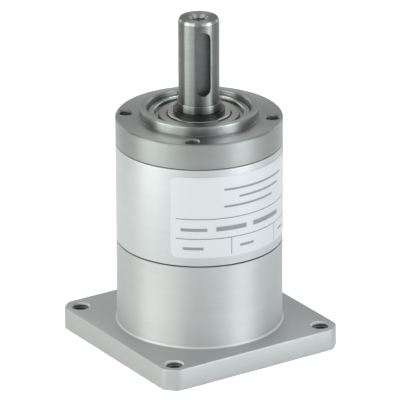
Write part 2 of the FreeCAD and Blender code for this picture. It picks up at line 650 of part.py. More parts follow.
def make_output_shaft():
    body = turned("output_shaft", [("0", "carrier_bottom"), ("carrier_r", "carrier_bottom"),
                                   ("carrier_r", "carrier_top"), ("shoulder_r", "carrier_top"),
                                   ("shoulder_r", "bearing_rear"), ("output_seat_r", "bearing_rear"),
                                   ("output_seat_r", "bearing_front"), ("groove_r", "bearing_front"),
                                   ("groove_r", "groove_top"), ("output_seat_r", "groove_top"),
                                   ("output_seat_r", "seat_end"), ("shaft_r", "seat_end"),
                                   ("shaft_r", "shaft_edge"), ("shaft_edge_r", "shaft_end"),
                                   ("centre_mouth_r", "shaft_end"), ("centre_r", "centre_mouth_end"),
                                   ("centre_r", "centre_end"), ("0", "centre_tip")])
    keyway = new_sketch(body, "YZ_Plane", lift="key_floor")
    slot(keyway, "key_half", "key_low", "key_high")
    straight(body, "Pocket", keyway, "key_depth", reverse=True)
    pin_hole = new_sketch(body, "XY_Plane", lift="carrier_bottom")
    circle(pin_hole, "pin_circle_r", "0", "pin_r")
    drilled = straight(body, "Pocket", pin_hole, "carrier_plate", reverse=True)
    repeat_round(body, drilled, PLANETS)
    # a web stands between each two planets and meets the rear plate
    web = new_sketch(body, "XY_Plane", lift="rear_plate_top")
    outline(web, [("-web_in_r", "-web_in_half"), ("-web_in_r", "web_in_half"),
                  ("-web_out_r", "web_out_half"), ("-web_out_r", "-web_out_half")])
    standing = straight(body, "Pad", web, "web_length")
    repeat_round(body, standing, PLANETS)
    return seat(body, turn="train_angle")


def slot(sketch, half_width, low, high):
    """Upright slot with round ends, its width and the middles of its ends held by named values."""
    half = amount(half_width)
    bottom = Vector(0, amount(low), 0)
    top = Vector(0, amount(high), 0)
    axis = Vector(0, 0, 1)
    upper = sketch.addGeometry(Part.ArcOfCircle(Part.Circle(top, axis, half), 0, math.pi), False)
    left = sketch.addGeometry(Part.LineSegment(top + Vector(-half, 0, 0), bottom + Vector(-half, 0, 0)), False)
    lower = sketch.addGeometry(Part.ArcOfCircle(Part.Circle(bottom, axis, half), math.pi, 2 * math.pi), False)
    right = sketch.addGeometry(Part.LineSegment(bottom + Vector(half, 0, 0), top + Vector(half, 0, 0)), False)
    for first, first_end, second, second_end in ((upper, 2, left, 1), (left, 2, lower, 1),
                                                 (lower, 2, right, 1), (right, 2, upper, 1)):
        sketch.addConstraint(Sketcher.Constraint("Tangent", first, first_end, second, second_end))
    hold(sketch, "DistanceX", upper, 3, "0")
    hold(sketch, "DistanceY", upper, 3, high)
    hold(sketch, "DistanceX", lower, 3, "0")
    hold(sketch, "DistanceY", lower, 3, low)
    width = sketch.addConstraint(Sketcher.Constraint("Radius", upper, half))
    sketch.setExpression(f"Constraints[{width}]", cell(half_width))


def make_carrier_rear_plate():
    body = ring("carrier_rear_plate", "sun_hole_r", "carrier_r", "rear_plate_bottom", "rear_plate_top")
    pin_hole = new_sketch(body, "XY_Plane", lift="rear_plate_bottom")
    circle(pin_hole, "pin_circle_r", "0", "pin_r")
    drilled = straight(body, "Pocket", pin_hole, "rear_plate", reverse=True)
    repeat_round(body, drilled, PLANETS)
    return seat(body, turn="train_angle")


def make_planet_pin(index):
    """Pin pressed into both plates of the carrier."""
    pin = doc.addObject("Part::Cylinder", f"planet_pin_{index + 1}")
    pin.Label = f"planet_pin_{index + 1}"
    pin.setExpression("Radius", cell("pin_r"))
    pin.setExpression("Height", "fits.carrier_top - fits.rear_plate_bottom")
    place_on_pin_circle(pin, index)
    pin.setExpression(".Placement.Base.z", cell("rear_plate_bottom"))
    return pin


def place_on_pin_circle(piece, index):
    """Middle of one planet, turned like the carrier."""
    heading = f"(sizes.train_angle * 1 deg + {index * 360 / PLANETS} deg)"
    piece.setExpression(".Placement.Base.x", f"fits.pin_circle_r * cos({heading})")
    piece.setExpression(".Placement.Base.y", f"fits.pin_circle_r * sin({heading})")


def make_planet_gear(index):
    gear = toothed_prism(f"planet_gear_{index + 1}", outer_teeth(PLANET_TEETH), "planet_bottom", "planet_top",
                         bore="planet_bore_r")
    turn = amount("train_angle") + index * 360 / PLANETS
    gear.Placement = Placement(Vector(), Rotation(Vector(0, 0, 1), turn))
    place_on_pin_circle(gear, index)
    return gear


def make_circlip():
    """External circlip: an open band with two lugs that have plier holes."""
    body = turned("shaft_circlip", [("groove_r", "bearing_front"), ("clip_r", "bearing_front"),
                                    ("clip_r", "clip_top"), ("groove_r", "clip_top")],
                  angle="360 deg - sizes.clip_open_angle * 1 deg")
    lugs = new_sketch(body, "XY_Plane", lift="bearing_front")
    eyes = new_sketch(body, "XY_Plane", lift="bearing_front")
    for side in ("clip_lug_y", "-clip_lug_y"):
        circle(lugs, "clip_lug_x", side, "clip_lug")
        circle(eyes, "clip_lug_x", side, "clip_eye")
    straight(body, "Pad", lugs, "clip_thickness")
    straight(body, "Pocket", eyes, "clip_thickness", reverse=True)
    return seat(body, turn="clip_angle")


# Input shaft and clamp

def make_input_shaft():
    """Split hub, bearing seat and sun pinion in one piece."""
    body = turned("input_shaft_blank", [("motor_bore_r", "hub_start"), ("hub_r", "hub_start"),
                                        ("hub_r", "hub_end"), ("input_seat_r", "hub_end"),
                                        ("input_seat_r", "input_bearing_top"),
                                        ("input_shoulder_r", "input_bearing_top"),
                                        ("input_shoulder_r", "input_shoulder_top"),
                                        ("0", "input_shoulder_top"), ("0", "motor_bore_tip"),
                                        ("motor_bore_r", "motor_shaft_reach")])
    slit = new_sketch(body, "XZ_Plane")
    outline(slit, [("-slit_half", "0"), ("slit_half", "0"), ("slit_half", "hub_end"), ("-slit_half", "hub_end")])
    straight(body, "Pocket", slit, "hub_r")
    pinion = toothed_prism("sun_pinion", outer_teeth(SUN_TEETH), "input_shoulder_top", "planet_top")
    # a tooth space of the sun faces each planet
    space_turn = amount("train_angle") + 180 / SUN_TEETH
    pinion.Placement = Placement(Vector(), Rotation(Vector(0, 0, 1), space_turn))
    shaft = doc.addObject("Part::Fuse", "input_shaft")
    shaft.Base = body
    shaft.Tool = pinion
    shaft.Label = "input_shaft"
    return shaft


def make_clamp_collar():
    body = ring("clamp_collar", "hub_r", "collar_r", "collar_start", "collar_top")
    gap = new_sketch(body, "XZ_Plane")
    outline(gap, [("-collar_slit_half", "0"), ("collar_slit_half", "0"),
                  ("collar_slit_half", "collar_top"), ("-collar_slit_half", "collar_top")])
    straight(body, "Pocket", gap, "collar_r")
    shank = new_sketch(body, "YZ_Plane")
    circle(shank, "screw_offset", "collar_middle", "screw_hole_r")
    straight(body, "Pocket", shank, "collar_diameter").Midplane = True
    head = new_sketch(body, "YZ_Plane", lift="screw_seat")
    circle(head, "screw_offset", "collar_middle", "screw_head_hole_r")
    straight(body, "Pocket", head, "collar_r", reverse=True)
    return body


def make_clamp_screw():
    """Socket head screw; its own frame has the seat of the head at the origin."""
    body = turned("clamp_screw", [("0", "-screw_length"), ("screw_r", "-screw_length"), ("screw_r", "0"),
                                  ("screw_head_r", "0"), ("screw_head_r", "screw_head_height"),
                                  ("0", "screw_head_height")])
    hexagon = new_sketch(body, "XY_Plane", lift="socket_floor")
    outline(hexagon, [("socket_corner", "0"), ("socket_half_corner", "socket_side"),
                      ("-socket_half_corner", "socket_side"), ("-socket_corner", "0"),
                      ("-socket_half_corner", "-socket_side"), ("socket_half_corner", "-socket_side")])
    straight(body, "Pocket", hexagon, "socket_depth", reverse=True)
    seat(body, along_x=True)
    body.setExpression(".Placement.Base.x", cell("screw_seat"))
    return body


pieces = [make_motor_flange(), make_ring_gear(), make_output_cover(), *make_gaskets(), make_label(),
          make_access_plug(), *make_output_bearing(), *make_input_bearing(), make_output_shaft(),
          make_carrier_rear_plate(), make_circlip(), make_input_shaft(), make_clamp_collar(),
          make_clamp_screw()]
for planet in range(PLANETS):
    pieces.append(make_planet_pin(planet))
    pieces.append(make_planet_gear(planet))
doc.recompute()

# Nothing is written unless every feature and every solid is sound
for item in doc.Objects:
    if "Invalid" in item.State or "Error" in item.State:
        raise RuntimeError(f"{item.Label} failed: {item.State}")
for piece in pieces:
    if piece.Shape.isNull() or not piece.Shape.isValid():
        raise RuntimeError(f"{piece.Label} has no sound shape")

os.makedirs("parts", exist_ok=True)
for piece in pieces:
    piece.Shape.exportStep(f"parts/{piece.Label}.step")
    print(piece.Label, len(piece.Shape.Solids), round(piece.Shape.Volume, 2), "mm3")
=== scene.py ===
# %% [markdown]
# # Gear reducer
# This lesson dresses a small planetary gear reducer: a square motor plate with a round barrel, a
# ring gear section, a cover with a bearing, and an output shaft with a keyway.
# The frame is loaded first. Each piece of the frame already has its exact place, so every new
# piece is drawn straight in that place, in metres, and nothing is moved afterwards.

# %% Load the frame
from functools import partial
from math import cos, pi, radians, sin, sqrt, tau

import bmesh
import bpy
from mathutils import Matrix, Vector
from mathutils.geometry import tessellate_polygon


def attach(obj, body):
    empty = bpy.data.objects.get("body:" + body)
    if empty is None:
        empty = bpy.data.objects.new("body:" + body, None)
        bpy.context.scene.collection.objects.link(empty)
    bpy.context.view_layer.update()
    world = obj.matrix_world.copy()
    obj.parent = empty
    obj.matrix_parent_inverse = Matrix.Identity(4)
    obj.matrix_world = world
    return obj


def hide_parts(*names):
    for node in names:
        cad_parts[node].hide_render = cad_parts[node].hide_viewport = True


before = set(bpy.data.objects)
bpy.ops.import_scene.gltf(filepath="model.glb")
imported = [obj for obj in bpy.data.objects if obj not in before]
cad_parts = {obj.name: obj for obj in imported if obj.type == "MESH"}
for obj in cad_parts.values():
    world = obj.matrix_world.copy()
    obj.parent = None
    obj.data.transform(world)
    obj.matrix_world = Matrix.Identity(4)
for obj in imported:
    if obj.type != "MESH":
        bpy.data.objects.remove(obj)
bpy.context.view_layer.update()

MM = 0.001

# %% [markdown]
# ## Loops and skins
# Nearly every piece of a gear reducer is turned on a lathe. A lathe part is a profile carried
# round an axis, so it could be a screw modifier, but then a square plate could not share the
# mesh. Here a piece is a row of closed loops with the same number of points, and a skin of
# four-sided faces joins each loop to the next. A loop is a circle or the outline of a plate.

# %% Loops and skins
def around(radius, heading, *level):
    """Place at a distance from the axis and a heading, with or without a level."""
    return Vector((radius * cos(heading), radius * sin(heading), *level))


def circle_loop(radius, level, count):
    """Closed loop of points on a circle, in millimetres."""
    return [around(radius, tau * step / count, level) for step in range(count)]


def skin(mesh, first, second):
    """Joins two loops of equal length with four-sided faces."""
    count = len(first)
    for step in range(count):
        after = (step + 1) % count
        mesh.faces.new((first[step], first[after], second[after], second[step]))


def skin_row(mesh, loops):
    """Joins each loop of a row to the next one."""
    for first, second in zip(loops, loops[1:]):
        skin(mesh, first, second)


def fan(mesh, loop, tip):
    """Closes a loop with triangles that meet in one point, given in millimetres."""
    point = mesh.verts.new(Vector(tip) * MM)
    for step in range(len(loop)):
        mesh.faces.new((loop[step], loop[(step + 1) % len(loop)], point))


def add_loop(mesh, points):
    return [mesh.verts.new(point * MM) for point in points]


def smooth(data, crease=30):
    """Shades a mesh smooth; edges sharper than the crease, in degrees, stay crisp."""
    data.shade_smooth()
    data.set_sharp_from_angle(angle=radians(crease))


def new_object(name, data):
    """Puts a mesh, a lamp or a camera in the scene."""
    holder = bpy.data.objects.new(name, data)
    bpy.context.scene.collection.objects.link(holder)
    return holder


def mesh_object(name, mesh):
    """Makes an object of a bmesh."""
    data = bpy.data.meshes.new(name)
    mesh.to_mesh(data)
    mesh.free()
    return new_object(name, data)


def finish_mesh(name, mesh):
    """Makes a closed, smooth-shaded object of a bmesh."""
    bmesh.ops.remove_doubles(mesh, verts=mesh.verts, dist=1e-7)
    bmesh.ops.recalc_face_normals(mesh, faces=mesh.faces)
    piece = mesh_object(name, mesh)
    smooth(piece.data)
    return piece


print("loops are joined by a skin of four-sided faces")

# %% [markdown]
# ## Broken edges
# A turned edge is never perfectly sharp: the lathe hand breaks it with a file or a small radius,
# and that tiny slope catches the light. It could be a bevel modifier, but a profile is easier to
# control: each corner of the profile is cut back on both sides, and a few points round it off.

# %% Broken edges
# usual size of a broken edge, and how many points a large circle has
EDGE, ROUND = 0.08, 288


def break_edges(profile, size, steps=3):
    """Rounds the corners of a closed profile of (radius, level) points. A point may carry its own size."""
    corners = [(Vector(point[:2]), point[2] if len(point) > 2 else size) for point in profile]
    rounded = []
    for index, (corner, cut) in enumerate(corners):
        before = corners[index - 1][0] - corner
        after = corners[(index + 1) % len(corners)][0] - corner
        reach = min(cut, before.length * 0.45, after.length * 0.45)
        if reach < 1e-4:
            rounded.append(corner)
            continue
        start = corner + before.normalized() * reach
        end = corner + after.normalized() * reach
        for step in range(steps + 1):
            share = step / steps
            rounded.append(start * (1 - share) ** 2 + corner * 2 * share * (1 - share) + end * share ** 2)
    return rounded


def lathe(mesh, points, count=ROUND):
    """Open skin that a row of (radius, level) points sweeps round the main axis; gives its loops."""
    loops = [add_loop(mesh, circle_loop(*point, count)) for point in points]
    skin_row(mesh, loops)
    return loops


def turned(name, profile, edge, count=ROUND):
    """Closed ring that a profile sweeps round the main axis."""
    mesh = bmesh.new()
    loops = lathe(mesh, break_edges(profile, edge), count)
    skin(mesh, loops[-1], loops[0])
    return finish_mesh(name, mesh)


print("an edge of", EDGE, "mm is broken on turned pieces")

# %% [markdown]
# ## Flat faces with holes
# The plate's top has a round foot in the middle and four tapped holes near its corners. A boolean
# cut works, but it leaves thin faces that shade badly. Filling the flat face between its outline
# and its holes at once gives clean, exactly flat triangles, and the holes' walls start from the
# same points.

# %% Flat faces with holes
HOLE_ROUND = 48


def flat_face(mesh, *loops):
    """Fills a flat face; the first loop is its outline, the others are holes."""
    points = [vert for loop in loops for vert in loop]
    for triangle in tessellate_polygon([[vert.co for vert in loop] for loop in loops]):
        mesh.faces.new([points[index] for index in triangle])


def hole_loop(middle, radius, level):
    return [point + Vector((*middle, 0)) for point in circle_loop(radius, level, HOLE_ROUND)]


def tapped_hole(mesh, middle, steps):
    """Wall of a hole through (radius, level) steps; gives its first and its last loop."""
    loops = [add_loop(mesh, hole_loop(middle, *step)) for step in steps]
    skin_row(mesh, loops)
    return loops[0], loops[-1]


print("flat faces are filled between outline and holes")

# %% [markdown]
# ## Nodes
# Every finish is a small network of nodes, and so are the trees that make teeth, threads and
# balls. Three helpers feed a node, add a node and do one sum, so each recipe reads like a formula.

# %% Nodes
def feed(tree, target, inputs):
    """Gives a node's inputs their values: plain ones, outputs, or nodes, which stand for their first output."""
    for key, value in inputs.items():
        if isinstance(value, bpy.types.Node):
            value = value.outputs[0]
        if isinstance(value, bpy.types.NodeSocket):
            tree.links.new(value, target.inputs[key])
        else:
            target.inputs[key].default_value = value


def add_node(tree, kind, inputs=None, **settings):
    """Adds a node with its settings and its inputs."""
    added = tree.nodes.new(kind)
    for key, value in settings.items():
        setattr(added, key, value)
    feed(tree, added, inputs or {})
    return added


def compute(tree, operation, *values):
    """One step of arithmetic in a tree."""
    return add_node(tree, "ShaderNodeMath", dict(enumerate(values)), operation=operation)


print("three helpers feed nodes, add them and do sums")

# %% [markdown]
# ## Turned metal
# Turning leaves fine rings round the axis. On a cylinder they change with the level only, and on
# a face with the radius only. Both are measured from the axis, so one noise read at (radius,
# level) draws them all. It also changes slowly round the axis, so that the rings break off: the
# turn goes in as a point on a circle, which leaves no seam where a full turn ends. The same noise
# tilts the surface slightly and changes its gloss, which spreads a highlight the way cut metal
# does. Chamfers and the mouths of holes are cut last, so their newly cut metal is brighter. Every
# slope that faces upwards gets this lighter colour, so it is also a painted highlight of the light
# that such slopes catch from above.

# %% Recipes of a finish
def new_material(name, slot):
    """Material with its tree and its shader."""
    material = bpy.data.materials.new(name)
    material.use_nodes = True
    material["slot"] = slot
    return material, material.node_tree, material.node_tree.nodes["Principled BSDF"]


def axes(tree, vector):
    """The X, Y and Z of a vector."""
    return add_node(tree, "ShaderNodeSeparateXYZ", {0: vector}).outputs


def axis_coordinates(tree, along, across):
    """Place, level, and (radius, level, turn) scaled along and across the cut, with a fourth axis for the turn."""
    place = add_node(tree, "ShaderNodeTexCoord").outputs["Object"]
    split = axes(tree, place)
    flat = add_node(tree, "ShaderNodeCombineXYZ", {"X": split["X"], "Y": split["Y"]})
    radius = add_node(tree, "ShaderNodeVectorMath", {0: flat}, operation="LENGTH").outputs["Value"]
    heading = add_node(tree, "ShaderNodeVectorMath", {0: flat}, operation="NORMALIZE")
    turn = axes(tree, heading)
    cut = add_node(tree, "ShaderNodeCombineXYZ", {"X": radius, "Y": split["Z"], "Z": turn["X"]})
    rings = add_node(tree, "ShaderNodeVectorMath", {0: cut, 1: (along, along, across)}, operation="MULTIPLY")
    return place, split["Z"], rings, compute(tree, "MULTIPLY", turn["Y"], across)


def noise(tree, vector, scale, detail=3.0, fourth=None):
    inputs = {"Vector": vector, "Scale": scale, "Detail": detail, "Roughness": 0.6}
    if fourth:
        inputs["W"] = fourth
    return add_node(tree, "ShaderNodeTexNoise", inputs, noise_dimensions="4D" if fourth else "3D")


def ramp(tree, value, start, end, low=0.0, high=1.0):
    """Maps the range from start to end to the range from low to high."""
    return add_node(tree, "ShaderNodeMapRange", {
        "Value": value, "From Min": start, "From Max": end, "To Min": low, "To Max": high})


def spread(tree, value, low, high):
    """Maps the middle of a noise to a range."""
    return ramp(tree, value, 0.3, 0.7, low, high)


def blend(tree, factor, first, second):
    """Mixes two colours, plain or from other nodes."""
    first, second = ((*colour, 1) if isinstance(colour, tuple) else colour for colour in (first, second))
    return add_node(tree, "ShaderNodeMix", {"Factor": factor, "A": first, "B": second},
                    data_type="RGBA").outputs["Result"]


def relief(tree, height, strength, depth):
    """Normal of a surface that a height tilts; its depth is in metres."""
    return add_node(tree, "ShaderNodeBump", {"Height": height, "Strength": strength, "Distance": depth})


print("recipes share noise, ramps, blends and reliefs")

# %% Turned metal
# half width of the keyway, levels of the middles of its round ends, and some room round it
KEY_HALF, KEY_LOW, KEY_HIGH, KEY_ROOM = 2.0, 73.7, 87.7, 0.6
CHANGE_ROUND = 5.0


def upward_sheen_mask(tree, level):
    """1 on slopes that face upwards, such as chamfers and the mouths of holes, but not at the keyway's ends; it
    marks where the painted highlight goes.
    """
    facing = add_node(tree, "ShaderNodeNewGeometry").outputs["True Normal"]
    upward = axes(tree, facing)["Z"]
    middle = (KEY_LOW + KEY_HIGH) / 2 * MM
    reach = ((KEY_HIGH - KEY_LOW) / 2 + KEY_HALF + KEY_ROOM) * MM
    outside = compute(tree, "SUBTRACT", 1.0, compute(tree, "COMPARE", level, middle, reach))
    slope = compute(tree, "MULTIPLY", ramp(tree, upward, 0.15, 0.4), ramp(tree, upward, 0.99, 0.93))
    return compute(tree, "MULTIPLY", slope, outside)


def turned_metal(name, slot, dark, light, rough, metallic=1.0, pitch=0.12, depth=4e-6, grain=0.0,
                 spread_out=0.6, fresh_and_sheen=None):
    """Metal with fine rings round the axis. Pitch is the width of the rings in millimetres."""
    material, tree, shader = new_material(name, slot)
    place, level, rings, fourth = axis_coordinates(tree, 1 / (pitch * MM), CHANGE_ROUND)
    fine = noise(tree, rings, 1.0, fourth=fourth)
    broad = noise(tree, rings, 0.07, detail=2.0, fourth=fourth)
    cloud = noise(tree, place, 90.0, detail=4.0)
    colour = blend(tree, spread(tree, broad, 0, 1), dark, light)
    # slopes that face upwards get a lighter colour: a painted highlight, partly the brighter metal of the last cut
    if fresh_and_sheen:
        colour = blend(tree, upward_sheen_mask(tree, level), colour, fresh_and_sheen)
    height = compute(tree, "ADD", fine, noise(tree, place, grain, detail=2.0)) if grain else fine
    feed(tree, shader, {
        "Base Color": colour, "Metallic": metallic, "Normal": relief(tree, height, 0.5, depth),
        "Roughness": compute(tree, "ADD", spread(tree, fine, *rough), spread(tree, cloud, -0.02, 0.02)),
        # grooves round the axis spread a highlight along the axis, a quarter turn from the cut
        "Anisotropic": spread_out, "Anisotropic Rotation": 0.25,
        "Tangent": add_node(tree, "ShaderNodeTangent", direction_type="RADIAL", axis="Z")})
    return material


print("fresh edges stay off the keyway, from", KEY_LOW, "to", KEY_HIGH, "mm")

# %% Metals of the reducer
# the last colour of a metal is a painted highlight on its upward slopes, partly newly cut metal
flange_metal = turned_metal(
    "turned_aluminium_flange", "flange_aluminium", (0.354, 0.364, 0.360), (0.373, 0.383, 0.379), (0.42, 0.52),
    metallic=0.4, pitch=0.14, depth=6e-6, grain=9000.0, fresh_and_sheen=(0.50, 0.514, 0.509))
cover_metal = turned_metal(
    "turned_aluminium_cover", "cover_aluminium", (0.270, 0.281, 0.272), (0.287, 0.298, 0.289), (0.32, 0.38),
    pitch=0.14, depth=6e-6, grain=9000.0, spread_out=0.72, fresh_and_sheen=(0.34, 0.353, 0.344))
ring_metal = turned_metal(
    "satin_steel_ring", "ring_steel", (0.410, 0.423, 0.426), (0.428, 0.441, 0.444), (0.38, 0.48),
    metallic=0.45, pitch=0.10, grain=11000.0)
shaft_metal = turned_metal(
    "ground_steel_shaft", "shaft_steel", (0.181, 0.188, 0.182), (0.203, 0.210, 0.204), (0.31, 0.36),
    pitch=0.05, depth=3e-6, spread_out=1.0, fresh_and_sheen=(0.44, 0.45, 0.44))
bearing_metal = turned_metal(
    "ground_bearing_steel", "bearing_steel", (0.36, 0.365, 0.36), (0.41, 0.415, 0.41), (0.16, 0.24),
    pitch=0.04, depth=2e-6, fresh_and_sheen=(0.54, 0.55, 0.54))
shield_metal = turned_metal(
    "pressed_sheet_shield", "shield_steel", (0.25, 0.25, 0.235), (0.29, 0.29, 0.27), (0.30, 0.42),
    pitch=0.2)
# dark metal for the threads: painted shade inside the tapped holes
hole_shade_metal = turned_metal(
    "tapped_hole_shade_metal", "flange_aluminium", (0.07, 0.072, 0.076), (0.12, 0.122, 0.125), (0.34, 0.46),
    metallic=0.9, pitch=0.2)
gear_metal = turned_metal(
    "hobbed_gear_steel", "gear_steel", (0.36, 0.36, 0.37), (0.44, 0.44, 0.45), (0.26, 0.38),
    pitch=0.1)
carrier_metal = turned_metal(
    "machined_carrier_steel", "carrier_steel", (0.42, 0.42, 0.43), (0.50, 0.50, 0.51), (0.28, 0.40),
    pitch=0.16, depth=6e-6)
cage_metal = turned_metal(
    "machined_brass_cage", "cage_brass", (0.60, 0.42, 0.17), (0.72, 0.53, 0.23), (0.26, 0.38),
    depth=5e-6)
print("metals:", sum(1 for material in bpy.data.materials if "slot" in material))

# %% [markdown]
# ## Grained finishes
# The circlip and the clamp screw are black-oxidised, which looks slightly glossy with a brown
# bloom where it is thin. The sealing rings and the plug are rubber, so they are rougher and have
# a fine grain. The floor of the keyway is milled, which leaves it duller than the ground shaft;
# its darker colour is painted shade, for the shade that falls in the keyway. All share one simple
# recipe: a grain that changes colour, gloss and height.

# %% Grained finishes
def grained(name, slot, dark, light, rough, grain, depth, metallic=0.0):
    material, tree, shader = new_material(name, slot)
    place = add_node(tree, "ShaderNodeTexCoord").outputs["Object"]
    fine = noise(tree, place, grain, detail=4.0)
    broad = noise(tree, place, grain / 12)
    feed(tree, shader, {
        "Base Color": blend(tree, spread(tree, broad, 0, 1), dark, light), "Metallic": metallic,
        "Roughness": spread(tree, fine, *rough), "Normal": relief(tree, fine, 0.5, depth)})
    return material


# darker than the shaft: painted shade in the keyway, together with the duller milled finish
milled_shade_metal = grained("milled_keyway_shade_steel", "shaft_steel", (0.118, 0.125, 0.122), (0.142, 0.149, 0.146),
                       (0.46, 0.58), 7000.0, 3e-6, metallic=1.0)
black_steel = grained("black_oxide_steel", "black_steel", (0.006, 0.006, 0.007), (0.014, 0.013, 0.013),
                      (0.32, 0.46), 6000.0, 4e-6)
rubber = grained("matte_black_rubber", "gasket", (0.006, 0.006, 0.006), (0.014, 0.014, 0.014),
                 (0.55, 0.75), 5000.0, 1e-5)
plug_rubber = grained("plug_rubber", "plug", (0.008, 0.008, 0.008), (0.018, 0.018, 0.018),
                      (0.5, 0.7), 4000.0, 1e-5)
print("grained finishes: milled steel, black oxide, rubber, plug")

# %% [markdown]
# ## Motor flange
# On the real part the square plate and the barrel are one piece of aluminium: the plate is sawn
# and milled, its corners are cut off and slightly rounded, and the barrel is turned with a small
# flare at its foot. The plate bolts to a motor, so its underside has a round recess for the
# motor's boss and its corners have tapped holes. One mesh holds it all: one row of loops goes
# round the plate's edge, another from the barrel's foot up its outside and down through the bore,
# and two flat faces join them.

# %% Outline of the plate
PLATE_HALF, PLATE_FLAT, PLATE_TOP = 28.0, 25.0, 6.0
CORNER_ROUND, CORNER_STEPS, BESIDE, HAIR = 1.0, 4, 0.25, 0.002
HOLE_HALF = 23.57


def plate_loop(inset, level):
    """Outline of the plate with its cut corners, moved inwards by an inset."""
    side = PLATE_HALF - inset
    flat = PLATE_FLAT - inset * (sqrt(2) - 1)
    corners = [Vector(corner) for corner in (
        (side, -flat), (side, flat), (flat, side), (-flat, side),
        (-side, flat), (-side, -flat), (-flat, -side), (flat, -side))]
    outline = []
    for index, corner in enumerate(corners):
        back = (corners[index - 1] - corner).normalized()
        ahead = (corners[(index + 1) % len(corners)] - corner).normalized()
        # one point beside the round keeps the flat face flat, and the round lies a hair further
        # in, because the fill of a flat face skips points that stand in one straight line
        outline.append(corner + back * (CORNER_ROUND + BESIDE))
        for step in range(CORNER_STEPS + 1):
            share = step / CORNER_STEPS
            outline.append(corner + back * (CORNER_ROUND * (1 - share) ** 2 + HAIR)
                           + ahead * (CORNER_ROUND * share ** 2 + HAIR))
        outline.append(corner + ahead * (CORNER_ROUND + BESIDE))
    return [Vector((point.x, point.y, level)) for point in outline]


plate_holes = [(x, y) for x in (HOLE_HALF, -HOLE_HALF) for y in (HOLE_HALF, -HOLE_HALF)]
print("plate", 2 * PLATE_HALF, "mm square,", len(plate_holes), "tapped holes")

# %% Mesh of the motor flange
# the body's skin, the socket that takes the ring gear's spigot, and the barrel's top
BODY, SOCKET, FLANGE_TOP = 22.5, 20.53, 29.43
# seat of the input bearing with its lip, room for the clamp, and the recess for the motor's boss
SEAT, SEAT_LOW, SEAT_HIGH, LIP, LIP_THICK = 12.0, 19.85, 25.35, 10.4, 1.0
CLAMP_ROOM, RECESS, RECESS_DEPTH, RECESS_CHAMFER = 15.5, 19.075, 2.0, 0.3
PLATE_MOUTH, PLATE_WALL, MOUTH_DEPTH = 2.65, 2.25, 0.4


def motor_flange_mesh():
    mesh = bmesh.new()
    # the plate's edge, from the top face round to the underside
    bend = [(0.22, 0.0), (0.11, 0.03), (0.03, 0.11), (0.0, 0.22)]
    rim = [(inset, PLATE_TOP - drop) for inset, drop in bend] + bend[::-1]
    edges = [add_loop(mesh, plate_loop(inset, level)) for inset, level in rim]
    skin_row(mesh, edges)
    # barrel and bore, from the foot on the plate up, over the top and down through the inside; the
    # profile isn't closed, so its two ends keep their own points
    foot = [(BODY + 0.4, PLATE_TOP, 0), (BODY + 0.02, PLATE_TOP + 0.38, 0), (BODY, PLATE_TOP + 0.42, 0)]
    barrel = [(BODY, FLANGE_TOP), (SOCKET, FLANGE_TOP), (SOCKET, SEAT_HIGH), (SEAT, SEAT_HIGH), (SEAT, SEAT_LOW),
              (LIP, SEAT_LOW), (LIP, SEAT_LOW - LIP_THICK), (CLAMP_ROOM, SEAT_LOW - LIP_THICK)]
    recess = [(CLAMP_ROOM, RECESS_DEPTH), (RECESS, RECESS_DEPTH, 0), (RECESS, RECESS_CHAMFER, 0),
              (RECESS + RECESS_CHAMFER, 0.0, 0)]
    loops = lathe(mesh, break_edges(foot + barrel + recess, EDGE))
    # tapped holes: a chamfered mouth in the top, then the wall right through
    wall = [(PLATE_MOUTH, PLATE_TOP), (PLATE_WALL, PLATE_TOP - MOUTH_DEPTH), (PLATE_WALL, 0.0)]
    tops, bottoms = zip(*(tapped_hole(mesh, middle, wall) for middle in plate_holes))
    flat_face(mesh, edges[0], loops[0], *tops)
    flat_face(mesh, edges[-1], loops[-1], *bottoms)
    return finish_mesh("motor_flange_turned", mesh)


flange = motor_flange_mesh()
print("motor flange:", len(flange.data.polygons), "faces")

# %% [markdown]
# ## Access hole
# The motor's shaft is gripped by a clamp collar inside the barrel. Its screw is reached with a
# wrench through a hole in the barrel's side, closed by a rubber plug. The hole meets a curved
# wall, where a boolean cut is the right tool: it finds the curved seam by itself.

# %% Cut the access hole
CUTTER_ROUND = 64
ACCESS_RADIUS, ACCESS_SIDE, ACCESS_LEVEL = 3.0, 9.13, 11.65
ACCESS_START, ACCESS_END = 13.0, 24.0
ALONG_X = Matrix.Rotation(radians(90), 4, "Y")


def settle(piece, modifier):
    """Keeps what a modifier makes as the piece's plain mesh, and drops the modifier."""
    bpy.context.view_layer.update()
    made = bpy.data.meshes.new_from_object(piece.evaluated_get(bpy.context.evaluated_depsgraph_get()))
    piece.modifiers.remove(modifier)
    old, piece.data = piece.data, made
    bpy.data.meshes.remove(old)


def cut_with(piece, cutter):
    """Takes the cutter's volume out of the piece and removes the cutter."""
    tool = piece.modifiers.new("cut", "BOOLEAN")
    tool.operation = "DIFFERENCE"
    tool.solver = "EXACT"
    tool.object = cutter
    settle(piece, tool)
    bpy.data.objects.remove(cutter)
    smooth(piece.data)


def round_cutter(radius, start, end, place):
    """Closed round bar between two lengths along its own Z, laid by a matrix."""
    mesh = bmesh.new()
    low, high = lathe(mesh, [(radius, start), (radius, end)], CUTTER_ROUND)
    mesh.faces.new(low)
    mesh.faces.new(high)
    bmesh.ops.transform(mesh, matrix=place, verts=mesh.verts)
    return finish_mesh("cutter", mesh)


access_place = Matrix.Translation((0, ACCESS_SIDE * MM, ACCESS_LEVEL * MM)) @ ALONG_X
cut_with(flange, round_cutter(ACCESS_RADIUS, ACCESS_START, ACCESS_END, access_place))
flange.data.materials.append(flange_metal)
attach(flange, "housing")
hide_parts("motor_flange")
print("access hole cut, flange has", len(flange.data.polygons), "faces")

